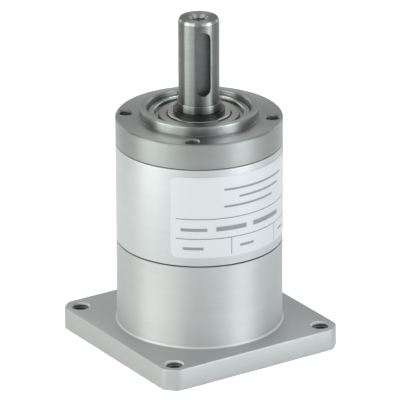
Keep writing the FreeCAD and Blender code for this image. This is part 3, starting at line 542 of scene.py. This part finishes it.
# %% [markdown]
# ## Trees
# Some pieces follow a rule: teeth, threads, rows of balls. Geometry Nodes state such a rule once,
# with named sizes that can be changed later. A tree needs points to start from, so each piece
# hands it a few points, takes the result as a plain mesh and drops the tree again.

# %% Tools for trees
def input_id(tree, name):
    """Identifier of a named input of a tree."""
    return next(item.identifier for item in tree.interface.items_tree
                if item.item_type == "SOCKET" and item.in_out == "INPUT" and item.name == name)


def new_tree(name, sizes):
    """Empty geometry tree with a mesh, sizes and a finish as inputs; gives the tree and its given values."""
    tree = bpy.data.node_groups.new(name, "GeometryNodeTree")
    for label, kind, value in (("Geometry", "Geometry", None), *sizes, ("Finish", "Material", None)):
        item = tree.interface.new_socket(label, in_out="INPUT", socket_type="NodeSocket" + kind)
        if value is not None:
            item.default_value = value
    tree.interface.new_socket("Geometry", in_out="OUTPUT", socket_type="NodeSocketGeometry")
    tree.is_modifier = True
    return tree, add_node(tree, "NodeGroupInput").outputs


def end_tree(tree, given, geometry):
    """Makes instances real, gives the mesh its finish and hands it out."""
    real = add_node(tree, "GeometryNodeRealizeInstances", {"Geometry": geometry})
    finish = add_node(tree, "GeometryNodeSetMaterial", {"Geometry": real, "Material": given["Finish"]})
    add_node(tree, "NodeGroupOutput", {"Geometry": finish})
    return tree


def grow(name, tree, points, values, crease=40):
    """Runs a tree on a cloud of points and keeps the result as a plain mesh."""
    seeds = bpy.data.meshes.new(name + "_points")
    seeds.from_pydata([Vector(point) * MM for point in points], [], [])
    piece = new_object(name, seeds)
    rule = piece.modifiers.new("grow", "NODES")
    rule.node_group = tree
    for label, value in values.items():
        rule[input_id(tree, label)] = value
    settle(piece, rule)
    # points bring an empty material place along, which isn't needed
    materials = piece.data.materials
    if len(materials) > 1 and materials[0] is None:
        materials.pop(index=0)
    smooth(piece.data, crease)
    return piece


print("trees start from points and end as plain meshes")

# %% [markdown]
# ## Ring gear
# The middle section is the ring gear itself: a steel tube with 36 teeth broached inside and
# spigots that centre it in its neighbours. The tree carries the tube's profile round the axis on
# a grid, one column of the grid for each step. Profile points inside the bore's limit don't keep
# their own radius: theirs goes from root to tip and back once for every tooth.

# %% Tree of the ring gear
def toothed_ring_tree():
    tree, given = new_tree("toothed_ring", [
        ("Teeth", "Int", 36), ("Steps", "Int", 576), ("Bore Limit", "Float", 0.017),
        ("Root Radius", "Float", 0.0173), ("Tip Radius", "Float", 0.0155),
        ("Root Half Angle", "Float", 0.07), ("Tip Half Angle", "Float", 0.02), ("Turn", "Float", 0.0)])
    step = partial(compute, tree)
    # the first count of a mesh's sizes is that of its points
    count = add_node(tree, "GeometryNodeAttributeDomainSize", {"Geometry": given["Geometry"]})
    rows = step("ADD", count, 1)
    grid = add_node(tree, "GeometryNodeMeshGrid", {
        "Vertices X": step("ADD", given["Steps"], 1), "Vertices Y": rows})
    # which column and row of the grid a point stands in
    index = add_node(tree, "GeometryNodeInputIndex")
    column = step("FLOOR", step("DIVIDE", index, rows))
    row = step("SUBTRACT", index, step("MULTIPLY", column, rows))
    heading = step("MULTIPLY", step("DIVIDE", column, given["Steps"]), tau)
    profile = add_node(tree, "GeometryNodeSampleIndex", {
        "Geometry": given["Geometry"], "Index": step("MODULO", row, count),
        "Value": add_node(tree, "GeometryNodeInputPosition")}, data_type="FLOAT_VECTOR")
    split = axes(tree, profile.outputs["Value"])
    # how far a heading is from the middle of its tooth space, as a share between tip and root
    space = step("DIVIDE", tau, given["Teeth"])
    half = step("DIVIDE", space, 2)
    shifted = step("ADD", step("SUBTRACT", heading, given["Turn"]), half)
    off = step("ABSOLUTE", step("SUBTRACT", step("FLOORED_MODULO", shifted, space), half))
    slope = step("SUBTRACT", given["Root Half Angle"], given["Tip Half Angle"])
    share = step("DIVIDE", step("SUBTRACT", given["Root Half Angle"], off), slope)
    share.use_clamp = True
    rise = step("SUBTRACT", given["Tip Radius"], given["Root Radius"])
    bore = step("MULTIPLY_ADD", rise, share, given["Root Radius"])
    # points inside the limit take the bore's radius
    inside = step("LESS_THAN", split["X"], given["Bore Limit"])
    radius = step("MULTIPLY_ADD", inside, step("SUBTRACT", bore, split["X"]), split["X"])
    place = add_node(tree, "ShaderNodeCombineXYZ", {
        "X": step("MULTIPLY", radius, step("COSINE", heading)),
        "Y": step("MULTIPLY", radius, step("SINE", heading)), "Z": split["Z"]})
    bent = add_node(tree, "GeometryNodeSetPosition", {"Geometry": grid, "Position": place})
    # the grid's edges meet after a full turn
    return end_tree(tree, given, add_node(tree, "GeometryNodeMergeByDistance", {"Geometry": bent, "Distance": 1e-6}))


ring_tree = toothed_ring_tree()
print("ring gear tree has", len(ring_tree.nodes), "nodes")

# %% Grow the ring gear
# heading of the keyway and the first planet, which the ring's teeth follow
TRAIN_TURN = radians(-109.6)
TEETH, STEPS_PER_TOOTH, ROOT, TIP = 36, 16, 17.325, 15.48
SPIGOT, RING_LOW, RING_HIGH = 20.5, 29.87, 57.22
TEETH_LOW, TEETH_HIGH, TEETH_FACE = 25.45, 52.5, 17.4
# any radius inside this limit stands for the toothed bore
BORE_LIMIT, IN_BORE = 17.0, 15.0
tube = break_edges([
    (TEETH_FACE, TEETH_LOW, 0), (SPIGOT, TEETH_LOW), (SPIGOT, RING_LOW), (BODY, RING_LOW, 0.06),
    (BODY, RING_HIGH, 0.06), (SOCKET, RING_HIGH), (SOCKET, TEETH_HIGH), (TEETH_FACE, TEETH_HIGH, 0)], EDGE)
ring_profile = [(IN_BORE, 0, TEETH_LOW), *((point.x, 0, point.y) for point in tube), (IN_BORE, 0, TEETH_HIGH)]
ring_gear = grow("ring_gear_turned", ring_tree, ring_profile, {
    "Teeth": TEETH, "Steps": TEETH * STEPS_PER_TOOTH, "Bore Limit": BORE_LIMIT * MM,
    "Root Radius": ROOT * MM, "Tip Radius": TIP * MM,
    "Root Half Angle": radians(4.1), "Tip Half Angle": radians(1.15),
    "Turn": TRAIN_TURN + pi / TEETH, "Finish": ring_metal}, crease=30)
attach(ring_gear, "housing")
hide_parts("ring_gear")
print("ring gear:", len(ring_gear.data.polygons), "faces")

# %% [markdown]
# ## Output cover
# The cover closes the gears in and carries the output bearing in a raised boss. Four tapped holes
# near its rim take the machine's screws. It is turned like the flange, and its face is filled
# round the holes' mouths.

# %% Mesh of the output cover
COVER_FACE, COVER_LOW, COVER_INSIDE, COVER_BORE = 64.5, 57.5, 52.6, 12.25
BOSS, BOSS_TOP, BEARING, BEARING_LOW = 16.0, 67.1, 14.0, 53.6
COVER_CHAMFER = 0.3
SCREW_CIRCLE, SCREW_TURN = 19.75, 51.2
COVER_MOUTH, CORE, HOLE_LOW, HOLE_TIP = 2.15, 1.78, 59.0, 58.1
cover_holes = [around(SCREW_CIRCLE, radians(SCREW_TURN + 90 * k)) for k in range(4)]


def output_cover_mesh():
    mesh = bmesh.new()
    boss = [(BOSS + 0.06, COVER_FACE, 0), (BOSS, COVER_FACE + 0.06, 0), (BOSS, BOSS_TOP, 0.4),
            (BEARING + 0.35, BOSS_TOP, 0.12), (BEARING, BOSS_TOP - 0.35, 0.12)]
    bore = [(BEARING, BEARING_LOW), (COVER_BORE, BEARING_LOW), (COVER_BORE, COVER_INSIDE),
            (SPIGOT, COVER_INSIDE), (SPIGOT, COVER_LOW)]
    rim = [(BODY, COVER_LOW, 0.06), (BODY, COVER_FACE - COVER_CHAMFER, 0), (BODY - COVER_CHAMFER, COVER_FACE, 0)]
    loops = lathe(mesh, break_edges(boss + bore + rim, EDGE, steps=6))
    wall = [(COVER_MOUTH, COVER_FACE), (CORE, COVER_FACE - (COVER_MOUTH - CORE)), (CORE, HOLE_LOW)]
    mouths = []
    for middle in cover_holes:
        mouth, floor = tapped_hole(mesh, middle, wall)
        fan(mesh, floor, (*middle, HOLE_TIP))
        mouths.append(mouth)
    flat_face(mesh, loops[-1], loops[0], *mouths)
    return finish_mesh("output_cover_turned", mesh)


cover = output_cover_mesh()
cover.data.materials.append(cover_metal)
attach(cover, "housing")
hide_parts("output_cover")
print("output cover:", len(cover.data.polygons), "faces")

# %% [markdown]
# ## Sealing rings
# Thin black rings lie in the two joints of the housing, a little inside the skin. They read as
# crisp dark lines that part the three sections.

# %% Sealing rings
SEAL_ROUND = 256
for name, low, high in (("lower_gasket", FLANGE_TOP + 0.02, RING_LOW - 0.02),
                        ("upper_gasket", RING_HIGH + 0.03, COVER_LOW)):
    square = [(SPIGOT, low), (BODY - 0.3, low), (BODY - 0.3, high), (SPIGOT, high)]
    seal = turned(name + "_ring", square, 0.05, SEAL_ROUND)
    seal.data.materials.append(rubber)
    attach(seal, "housing")
    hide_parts(name)
    print(name, "is", round(high - low, 2), "mm thick")

# %% [markdown]
# ## Output bearing
# A double-row ball bearing carries the output shaft. Only its front shows: the ground faces of
# the two rings and, between them, a pressed sheet shield with a groove near its rim that springs
# into the outer ring. Each is a closed turned profile.

# %% Rings and shield
def bearing_piece(name, node, body, material, profile, edge):
    piece = turned(name, profile, edge)
    piece.data.materials.append(material)
    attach(piece, body)
    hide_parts(node)
    print(name, "has", len(piece.data.polygons), "faces")


BEARING_FRONT, BEARING_BORE = 65.6, 6.0
# a shallow groove runs round the outer ring's face, 0.2 mm deep
GROOVE_FLOOR = BEARING_FRONT - 0.2
bearing_piece(
    "output_bearing_outer_race", "output_bearing_outer_ring", "housing", bearing_metal,
    [(12.0, BEARING_LOW), (BEARING, BEARING_LOW, 0.4), (BEARING, BEARING_FRONT - 0.5, 0.1),
     (BEARING - 0.5, BEARING_FRONT, 0.05), (12.95, BEARING_FRONT), (12.9, GROOVE_FLOOR), (12.7, GROOVE_FLOOR),
     (12.65, BEARING_FRONT), (12.15, BEARING_FRONT, 0.1), (12.0, GROOVE_FLOOR)], 0.03)
bearing_piece(
    "output_bearing_inner_race", "output_bearing_inner_ring", "output", bearing_metal,
    [(BEARING_BORE, BEARING_LOW, 0.35), (8.5, BEARING_LOW), (8.5, BEARING_FRONT, 0.22),
     (BEARING_BORE, BEARING_FRONT, 0.35)], 0.05)
bearing_piece(
    "output_bearing_sheet_shield", "output_bearing_shield", "housing", shield_metal,
    [(8.68, 64.6), (8.68, 65.1, 0.1), (8.8, 65.2, 0.1), (10.85, 65.2, 0.12), (11.0, 64.2, 0.1), (11.85, 64.2),
     (12.0, 64.5), (12.0, 64.05), (10.85, 64.05), (10.7, 65.0), (8.9, 65.0), (8.85, 64.6)], 0.04)

# %% [markdown]
# ## Output shaft
# The shaft, its shoulder, the front plate of the carrier and the webs between the planets are
# one piece of steel. The shaft's end has a centre hole with a thread, and a closed keyway is
# milled along it. The turned part comes first, then the keyway is cut with a slot-shaped bar.

# %% Turned part of the shaft
SHAFT_ROUND = 192
# front plate of the carrier, shoulder behind the bearing, and the shaft itself
CARRIER, CARRIER_LOW, CARRIER_HIGH, SHOULDER = 15.03, 47.0, 52.0, 7.8
SHAFT, SHAFT_LOW, SHAFT_END, SHAFT_CHAMFER = 5.5, 68.9, 92.3, 0.7
# groove of the circlip, and the centre hole with its mouth, its core and its drill point
CLIP_GROOVE, CLIP_TOP = 5.75, 66.7
CENTRE_MOUTH, DRILL_LOW, DRILL_TIP = 2.6, 82.3, 81.2


def output_shaft_mesh():
    mesh = bmesh.new()
    rear = [(CARRIER, CARRIER_LOW), (CARRIER, CARRIER_HIGH), (SHOULDER, CARRIER_HIGH), (SHOULDER, BEARING_LOW),
            (BEARING_BORE, BEARING_LOW), (BEARING_BORE, BEARING_FRONT), (CLIP_GROOVE, BEARING_FRONT, 0.02),
            (CLIP_GROOVE, CLIP_TOP, 0.02), (BEARING_BORE, CLIP_TOP)]
    front = [(BEARING_BORE, SHAFT_LOW, 0.12), (SHAFT, SHAFT_LOW, 0), (SHAFT, SHAFT_END - SHAFT_CHAMFER, 0.05),
             (5.1, SHAFT_END, 0.05)]
    centre = [(CENTRE_MOUTH, SHAFT_END, 0.03), (CORE, SHAFT_END - (CENTRE_MOUTH - CORE), 0.02), (CORE, DRILL_LOW, 0)]
    loops = lathe(mesh, break_edges(rear + front + centre, EDGE, steps=2), SHAFT_ROUND)
    fan(mesh, loops[0], (0, 0, CARRIER_LOW))
    fan(mesh, loops[-1], (0, 0, DRILL_TIP))
    return finish_mesh("output_shaft_turned", mesh)


shaft = output_shaft_mesh()
print("turned shaft:", len(shaft.data.polygons), "faces")

# %% Keyway, pin holes and webs
# distance of the keyway's floor off the axis, and how far off the cutter ends, past the skin
KEY_FLOOR, PAST_SKIN, SLOT_STEPS = 3.0, 8.0, 24
PIN, PIN_CIRCLE, PLANETS = 2.0, 10.8, 3
WEB_LOW, WEB_HIGH = 34.6, 47.2
THIRDS = [Matrix.Rotation(TRAIN_TURN + planet * tau / PLANETS, 4, "Z") for planet in range(PLANETS)]


def slot_cutter(half, low, high, start, end, turn):
    """Bar with round ends along the shaft, from one distance off the axis to another."""
    mesh = bmesh.new()
    outline = []
    for middle, first in ((high, 0), (low, 180)):
        for step in range(SLOT_STEPS + 1):
            angle = radians(first + 180 * step / SLOT_STEPS)
            outline.append((half * cos(angle), middle + half * sin(angle)))
    rings = [[mesh.verts.new(Vector((off, *spot)) * MM) for spot in outline] for off in (start, end)]
    skin(mesh, *rings)
    for ring in rings:
        mesh.faces.new(ring)
    bmesh.ops.transform(mesh, matrix=Matrix.Rotation(turn, 4, "Z"), verts=mesh.verts)
    return finish_mesh("cutter", mesh)


cut_with(shaft, slot_cutter(KEY_HALF, KEY_LOW, KEY_HIGH, KEY_FLOOR, PAST_SKIN, TRAIN_TURN))
for third in THIRDS:
    spot = third @ Matrix.Translation((PIN_CIRCLE * MM, 0, 0))
    cut_with(shaft, round_cutter(PIN, CARRIER_LOW - 1, CARRIER_HIGH + 1, spot))


def carrier_webs():
    """Three webs that stand between the planets, drawn as closed blocks with the shaft's mesh."""
    mesh = bmesh.new()
    mesh.from_mesh(shaft.data)
    corners = [(-7.3, -2.0), (-7.3, 2.0), (-14.43, 3.4), (-14.43, -3.4)]
    for third in THIRDS:
        low, high = ([mesh.verts.new(third @ (Vector((*corner, level)) * MM)) for corner in corners]
                     for level in (WEB_LOW, WEB_HIGH))
        sides = [mesh.faces.new((low[k], low[(k + 1) % 4], high[(k + 1) % 4], high[k])) for k in range(4)]
        block = sides + [mesh.faces.new(low), mesh.faces.new(high)]
        bmesh.ops.recalc_face_normals(mesh, faces=block)
    mesh.to_mesh(shaft.data)
    mesh.free()
    smooth(shaft.data)


carrier_webs()
shaft.data.materials.append(shaft_metal)
shaft.data.materials.append(milled_shade_metal)
# the keyway's floor and walls lie between the centre hole and the skin of the shaft; they take the darker milled
# steel, which also paints the shade in the keyway
for face in shaft.data.polygons:
    off_axis = Vector(face.center[:2]).length / MM
    level = face.center.z / MM
    if KEY_LOW - KEY_HALF - 0.1 < level < KEY_HIGH + KEY_HALF + 0.1 and 2.7 < off_axis < 5.4:
        face.material_index = 1
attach(shaft, "output")
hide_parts("output_shaft")
print("shaft with keyway, pin holes and webs:", len(shaft.data.polygons), "faces")

# %% [markdown]
# ## Threads
# The plate, the cover and the shaft's end have tapped holes, and a thread is a ridge that climbs
# round the hole's wall. This is what Geometry Nodes do well: a spiral is drawn as a curve, a
# small triangle is swept along it, and the result is put at each hole. One tree with named
# inputs makes the threads of every size.

# %% Tree that draws threads
def thread_tree():
    tree, given = new_tree("thread_in_holes", [
        ("Wall Radius", "Float", 0.0025), ("Ridge", "Float", 0.0004), ("Turns", "Float", 7.0),
        ("Length", "Float", 0.0055)])
    spiral = add_node(tree, "GeometryNodeCurveSpiral", {
        "Resolution": 28, "Rotations": given["Turns"], "Height": given["Length"],
        "Start Radius": given["Wall Radius"], "End Radius": given["Wall Radius"]})
    ridge = add_node(tree, "GeometryNodeCurvePrimitiveCircle", {"Resolution": 3, "Radius": given["Ridge"]})
    sweep = add_node(tree, "GeometryNodeCurveToMesh", {"Curve": spiral, "Profile Curve": ridge, "Fill Caps": True})
    placed = add_node(tree, "GeometryNodeInstanceOnPoints", {"Points": given["Geometry"], "Instance": sweep})
    return end_tree(tree, given, placed)


threads_tree = thread_tree()
print("thread tree has", len(threads_tree.nodes), "nodes")

# %% Put threads in the holes
# the threads' dark metal is painted shade inside the holes, and their ridges nearly cover each hole's wall
for name, body, slot, holes, low, length, wall, ridge, pitch in (
        ("plate_threads", "housing", "flange_aluminium", plate_holes, 0.4, 4.95, 2.28, 0.44, 0.8),
        ("cover_threads", "housing", "cover_aluminium", cover_holes, 59.4, 4.45, 1.82, 0.38, 0.7),
        ("shaft_end_threads", "output", "shaft_steel", [(0, 0)], 82.8, 8.4, 1.82, 0.38, 0.7)):
    piece = grow(name, threads_tree, [(*hole, low) for hole in holes], {
        "Wall Radius": wall * MM, "Ridge": ridge * MM, "Turns": length / pitch, "Length": length * MM,
        "Finish": hole_shade_metal})
    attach(piece, body)
    print(name, "has", len(piece.data.polygons), "faces in", len(holes), "holes")

# %% [markdown]
# ## Bearing balls
# Each row of a ball bearing is a ring of equal balls, so a second tree puts one ball on every
# point of a circle. The balls ride on the body that turns at their own speed, between the speeds
# of the two rings.

# %% Tree that draws a row of balls
def ball_tree():
    tree, given = new_tree("row_of_balls", [
        ("Balls", "Int", 14), ("Circle", "Float", 0.01), ("Ball Radius", "Float", 0.00175)])
    circle = add_node(tree, "GeometryNodeMeshCircle", {"Vertices": given["Balls"], "Radius": given["Circle"]})
    ball = add_node(tree, "GeometryNodeMeshIcoSphere", {"Subdivisions": 3, "Radius": given["Ball Radius"]})
    row = add_node(tree, "GeometryNodeInstanceOnPoints", {"Points": circle, "Instance": ball})
    rows = add_node(tree, "GeometryNodeInstanceOnPoints", {"Points": given["Geometry"], "Instance": row})
    return end_tree(tree, given, rows)


balls_tree = ball_tree()
BALL_PLAY = 0.01
for name, body, levels, count, circle, ball in (
        ("output_bearing_balls", "output_ball_set", (56.75, 61.55), 16, 10.25, 1.75),
        ("input_bearing_balls", "input_ball_set", (22.35,), 24, 9.75, 1.05)):
    row = grow(name, balls_tree, [(0, 0, level) for level in levels], {
        "Balls": count, "Circle": circle * MM, "Ball Radius": (ball - BALL_PLAY) * MM,
        "Finish": bearing_metal}, crease=80)
    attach(row, body)
    print(name, "has", count * len(levels), "balls")

# %% [markdown]
# ## Rating label
# The label is a printed film wrapped over the middle section. It is a thin curved sheet with
# rounded corners, and its print follows the sheet, so the sheet gets its own map in millimetres:
# along the arc and up from the lower edge. The print is generic: a frame of ruled lines and a few
# plain bars, drawn by comparing the map with the lines' places.

# %% Sheet of the label
LABEL_LOW, LABEL_HIGH, LABEL_CORNER = 32.25, 55.25, 2.0
LABEL_MIDDLE, LABEL_SPAN = -73.1, 140.0
LABEL_OUT = BODY + 0.1
LABEL_LENGTH = radians(LABEL_SPAN) * LABEL_OUT
CORNER_STOPS, PLAIN_STOPS = 8, 140


def label_half_height(along):
    """How far the sheet goes up and down at a place along it; it shrinks in the round corners."""
    half = (LABEL_HIGH - LABEL_LOW) / 2
    into = min(along, LABEL_LENGTH - along)
    if into >= LABEL_CORNER:
        return half
    return half - LABEL_CORNER + sqrt(max(LABEL_CORNER ** 2 - (LABEL_CORNER - into) ** 2, 0))


def label_sheet():
    mesh = bmesh.new()
    uv = mesh.loops.layers.uv.new("print")
    stops = [LABEL_CORNER * (1 - cos(pi / 2 * k / CORNER_STOPS)) for k in range(CORNER_STOPS)]
    plain = [LABEL_CORNER + (LABEL_LENGTH - 2 * LABEL_CORNER) * k / PLAIN_STOPS for k in range(PLAIN_STOPS + 1)]
    alongs = stops + plain + [LABEL_LENGTH - stop for stop in reversed(stops)]
    middle = (LABEL_LOW + LABEL_HIGH) / 2
    flat = {}
    columns = []
    for along in alongs:
        heading = radians(LABEL_MIDDLE - LABEL_SPAN / 2) + along / LABEL_OUT
        half = label_half_height(along)
        column = []
        for radius in (LABEL_OUT, BODY):
            for side in (1, -1):
                vert = mesh.verts.new(around(radius, heading, middle + side * half) * MM)
                flat[vert] = (along, middle + side * half - LABEL_LOW)
                column.append(vert)
        columns.append(column)
    for before, after in zip(columns, columns[1:]):
        for first, second in ((0, 1), (1, 3), (3, 2), (2, 0)):
            mesh.faces.new((before[first], before[second], after[second], after[first]))
    for column in (columns[0], columns[-1]):
        mesh.faces.new((column[0], column[1], column[3], column[2]))
    for face in mesh.faces:
        for corner in face.loops:
            corner[uv].uv = flat[corner.vert]
    return finish_mesh("rating_label_film", mesh)


label = label_sheet()
print("label is", round(LABEL_LENGTH, 1), "mm long and", LABEL_HIGH - LABEL_LOW, "mm high")

# %% Print of the label
INK_EDGE = 0.04


def print_box(tree, split, left, right, low, high):
    """1 inside a box of the map, in millimetres, with edges as soft as ink."""
    ink = None
    for axis, start, end in (("X", left, right), ("Y", low, high)):
        for edge, way in ((start, INK_EDGE), (end, -INK_EDGE)):
            inside = ramp(tree, split[axis], edge - way, edge + way)
            ink = compute(tree, "MULTIPLY", ink, inside) if ink else inside
    return ink


def print_lines(tree, split, boxes):
    """All boxes of one colour together."""
    total = print_box(tree, split, *boxes[0])
    for box in boxes[1:]:
        total = compute(tree, "MAXIMUM", total, print_box(tree, split, *box))
    return total


def label_material():
    material, tree, shader = new_material("printed_label_film", "label")
    place = add_node(tree, "ShaderNodeUVMap", uv_map="print").outputs["UV"]
    split = axes(tree, place)
    # boxes of the print, as left, right, low and high in millimetres on the map
    rules = [(1.5, 54.0, 10.98, 11.2), (1.5, 54.0, 5.34, 5.56), (16.6, 16.8, 0.5, 5.4), (32.2, 32.4, 0.5, 5.4)]
    bars = [(2.8, 10.0, 7.6, 8.5), (12.4, 21.2, 7.5, 8.8), (23.4, 34.0, 7.5, 8.8), (3.4, 9.0, 2.3, 3.1),
            (19.2, 23.6, 2.4, 3.1), (34.6, 38.2, 2.4, 3.1), (14.6, 36.0, 18.9, 19.5), (19.0, 34.0, 16.5, 17.1),
            (14.6, 31.0, 14.1, 14.7)]
    grain = noise(tree, add_node(tree, "ShaderNodeTexCoord").outputs["Object"], 7000.0, detail=2.0)
    colour = blend(tree, spread(tree, grain, 0, 1), (0.485, 0.495, 0.503), (0.505, 0.515, 0.523))
    for boxes, ink in ((bars, (0.20, 0.205, 0.21)), (rules, (0.10, 0.10, 0.10))):
        colour = blend(tree, print_lines(tree, split, boxes), colour, ink)
    feed(tree, shader, {
        "Base Color": colour, "Roughness": spread(tree, grain, 0.32, 0.40), "Metallic": 0.25,
        "Normal": relief(tree, grain, 0.3, 4e-6)})
    return material


label_print = label_material()
label.data.materials.append(label_print)
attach(label, "housing")
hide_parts("rating_label")
print("label print has", len(label_print.node_tree.nodes), "nodes")

# %% [markdown]
# ## Finishes of the pieces that stay
# The gears, pins, cages and clamp have the right shape in the frame already. They keep their
# meshes and only get their finish.

# %% Finishes of the pieces that stay
stays = {
    "access_plug": plug_rubber, "output_bearing_cage": cage_metal, "input_bearing_cage": cage_metal,
    "input_bearing_outer_ring": bearing_metal, "input_bearing_inner_ring": bearing_metal,
    "carrier_rear_plate": carrier_metal, "shaft_circlip": black_steel, "input_shaft": shaft_metal,
    "clamp_collar": black_steel, "clamp_screw": black_steel,
}
for number in (1, 2, 3):
    stays[f"planet_pin_{number}"] = shaft_metal
    stays[f"planet_gear_{number}"] = gear_metal
for node, material in stays.items():
    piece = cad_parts[node]
    for place in piece.material_slots:
        place.material = material
print("finished", len(stays), "pieces of the frame")

# %% [markdown]
# ## Camera
# The camera stands far off with a long lens, as in a catalogue picture, and looks down at about
# 22 degrees. Its place comes from the corners of the plate, the joints and the shaft.

# %% Camera
EYE, GAZE, ROLL = Vector((-0.66085, -1.01298, 0.52661)), Vector((0.50700, 0.77690, -0.37331)), -0.203
view = bpy.data.cameras.new("camera")
view.sensor_width = 36.0
view.lens = 434.72
view.clip_end = 20.0
camera = new_object("camera", view)
camera.location = EYE
turn = GAZE.to_track_quat("-Z", "Y").to_matrix().to_4x4()
camera.matrix_world = Matrix.Translation(EYE) @ turn @ Matrix.Rotation(radians(ROLL), 4, "Z")
bpy.context.scene.camera = camera
print("camera stands", round(EYE.length, 3), "m from the origin")

# %% [markdown]
# ## Floor and light
# A pale floor runs past every side of the picture, so it is the background too, and it glows a
# little to stay white. Soft boxes at both sides give the two broad highlights of the barrel, two
# tall ones light the shaft, and those above and behind light the tops and the rear. A grey room
# keeps the flat tops darker than the sides, which see the floor.

# %% Floor
FLOOR_RADIUS, FLOOR_LEVEL = 4000, -0.05
CAMERA_GLOW, MIRRORED_GLOW = 0.34, 0.2


def studio_floor():
    mesh = bmesh.new()
    # the floor leaves out the place under the plate
    rim = add_loop(mesh, circle_loop(FLOOR_RADIUS, FLOOR_LEVEL, 96))
    stand = add_loop(mesh, plate_loop(0.6, FLOOR_LEVEL))
    flat_face(mesh, rim, stand)
    for face in mesh.faces:
        if face.normal.z < 0:
            face.normal_flip()
    floor = mesh_object("floor", mesh)
    material, tree, shader = new_material("pale_floor", "floor")
    # the paper glows a little in the picture and in what the metal mirrors, and keeps the shadow
    path = add_node(tree, "ShaderNodeLightPath").outputs
    mirrored = compute(tree, "MAXIMUM", path["Is Glossy Ray"], path["Is Transmission Ray"])
    glow = compute(tree, "MULTIPLY_ADD", path["Is Camera Ray"], CAMERA_GLOW,
                   compute(tree, "MULTIPLY", mirrored, MIRRORED_GLOW))
    feed(tree, shader, {
        "Base Color": (0.95, 0.95, 0.95, 1), "Roughness": 0.9, "Specular IOR Level": 0.0,
        "Emission Color": (1, 1, 1, 1), "Emission Strength": glow})
    # from below the floor is clear, so that the underside can be looked at
    clear = add_node(tree, "ShaderNodeBsdfTransparent")
    below = add_node(tree, "ShaderNodeNewGeometry").outputs["Backfacing"]
    either = add_node(tree, "ShaderNodeMixShader", {"Fac": below, 1: shader, 2: clear})
    feed(tree, tree.nodes["Material Output"], {"Surface": either})
    floor.data.materials.append(material)


studio_floor()
world = bpy.data.worlds.new("room")
world.use_nodes = True
room = world.node_tree.nodes["Background"]
room.inputs["Color"].default_value = (0.6, 0.6, 0.605, 1)
room.inputs["Strength"].default_value = 0.58
bpy.context.scene.world = world
print("floor and room are set")

# %% Soft boxes
# direction from the reducer to the camera, and the point that every lamp is aimed at
TO_CAMERA, AIM = radians(-123.1), Vector((0, 0, 0.04))
WARM, COOL, WHITE = (0.97, 1.0, 0.965), (0.91, 0.95, 1.0), (1.0, 1.0, 1.0)


def soft_box(name, off, height, distance, size, power, colour=WHITE):
    """Area lamp placed by its angle, in degrees, from the camera's direction."""
    lamp = bpy.data.lights.new(name, "AREA")
    lamp.shape = "RECTANGLE"
    lamp.size, lamp.size_y = size
    lamp.energy = power
    lamp.color = colour
    holder = new_object(name, lamp)
    holder.visible_camera = False
    spot = around(distance, TO_CAMERA + radians(off), height)
    facing = (AIM - spot).to_track_quat("-Z", "Y").to_matrix().to_4x4()
    holder.matrix_world = Matrix.Translation(spot) @ facing


soft_box("left_box", -74, 0.16, 0.45, (0.18, 0.3), 0.86, WARM)
soft_box("left_fill", -54, 0.16, 0.45, (0.18, 0.3), 0.66, WARM)
soft_box("right_box", 65, 0.16, 0.45, (0.18, 0.3), 0.78, COOL)
soft_box("right_fill", 50, 0.16, 0.45, (0.18, 0.3), 0.68, COOL)
soft_box("right_wide", 74, 0.16, 0.45, (0.4, 0.3), 0.16, COOL)
soft_box("tall_left", -34, 0.4, 0.9, (0.3, 0.7), 2.4, WARM)
soft_box("tall_right", 30, 0.4, 0.9, (0.3, 0.7), 1.0, COOL)
soft_box("crown_box", 0, 1.2, 0.45, (0.8, 0.4), 0.55)
soft_box("rear_left", -135, 0.42, 1.0, (0.6, 0.5), 0.8, WARM)
soft_box("rear_right", 135, 0.42, 1.0, (0.6, 0.5), 0.8, COOL)
soft_box("rear_low", 180, 0.5, 1.1, (0.8, 0.3), 0.15)
soft_box("rear_box", 180, 1.0, 1.0, (0.6, 0.6), 2.6)
soft_box("over_box", 70, 1.4, 0.6, (0.5, 0.5), 0.2)

# %% [markdown]
# ## Finish
# The visual model must not be larger than the frame.

# %% Finish
bpy.context.scene.view_settings.view_transform = "Standard"
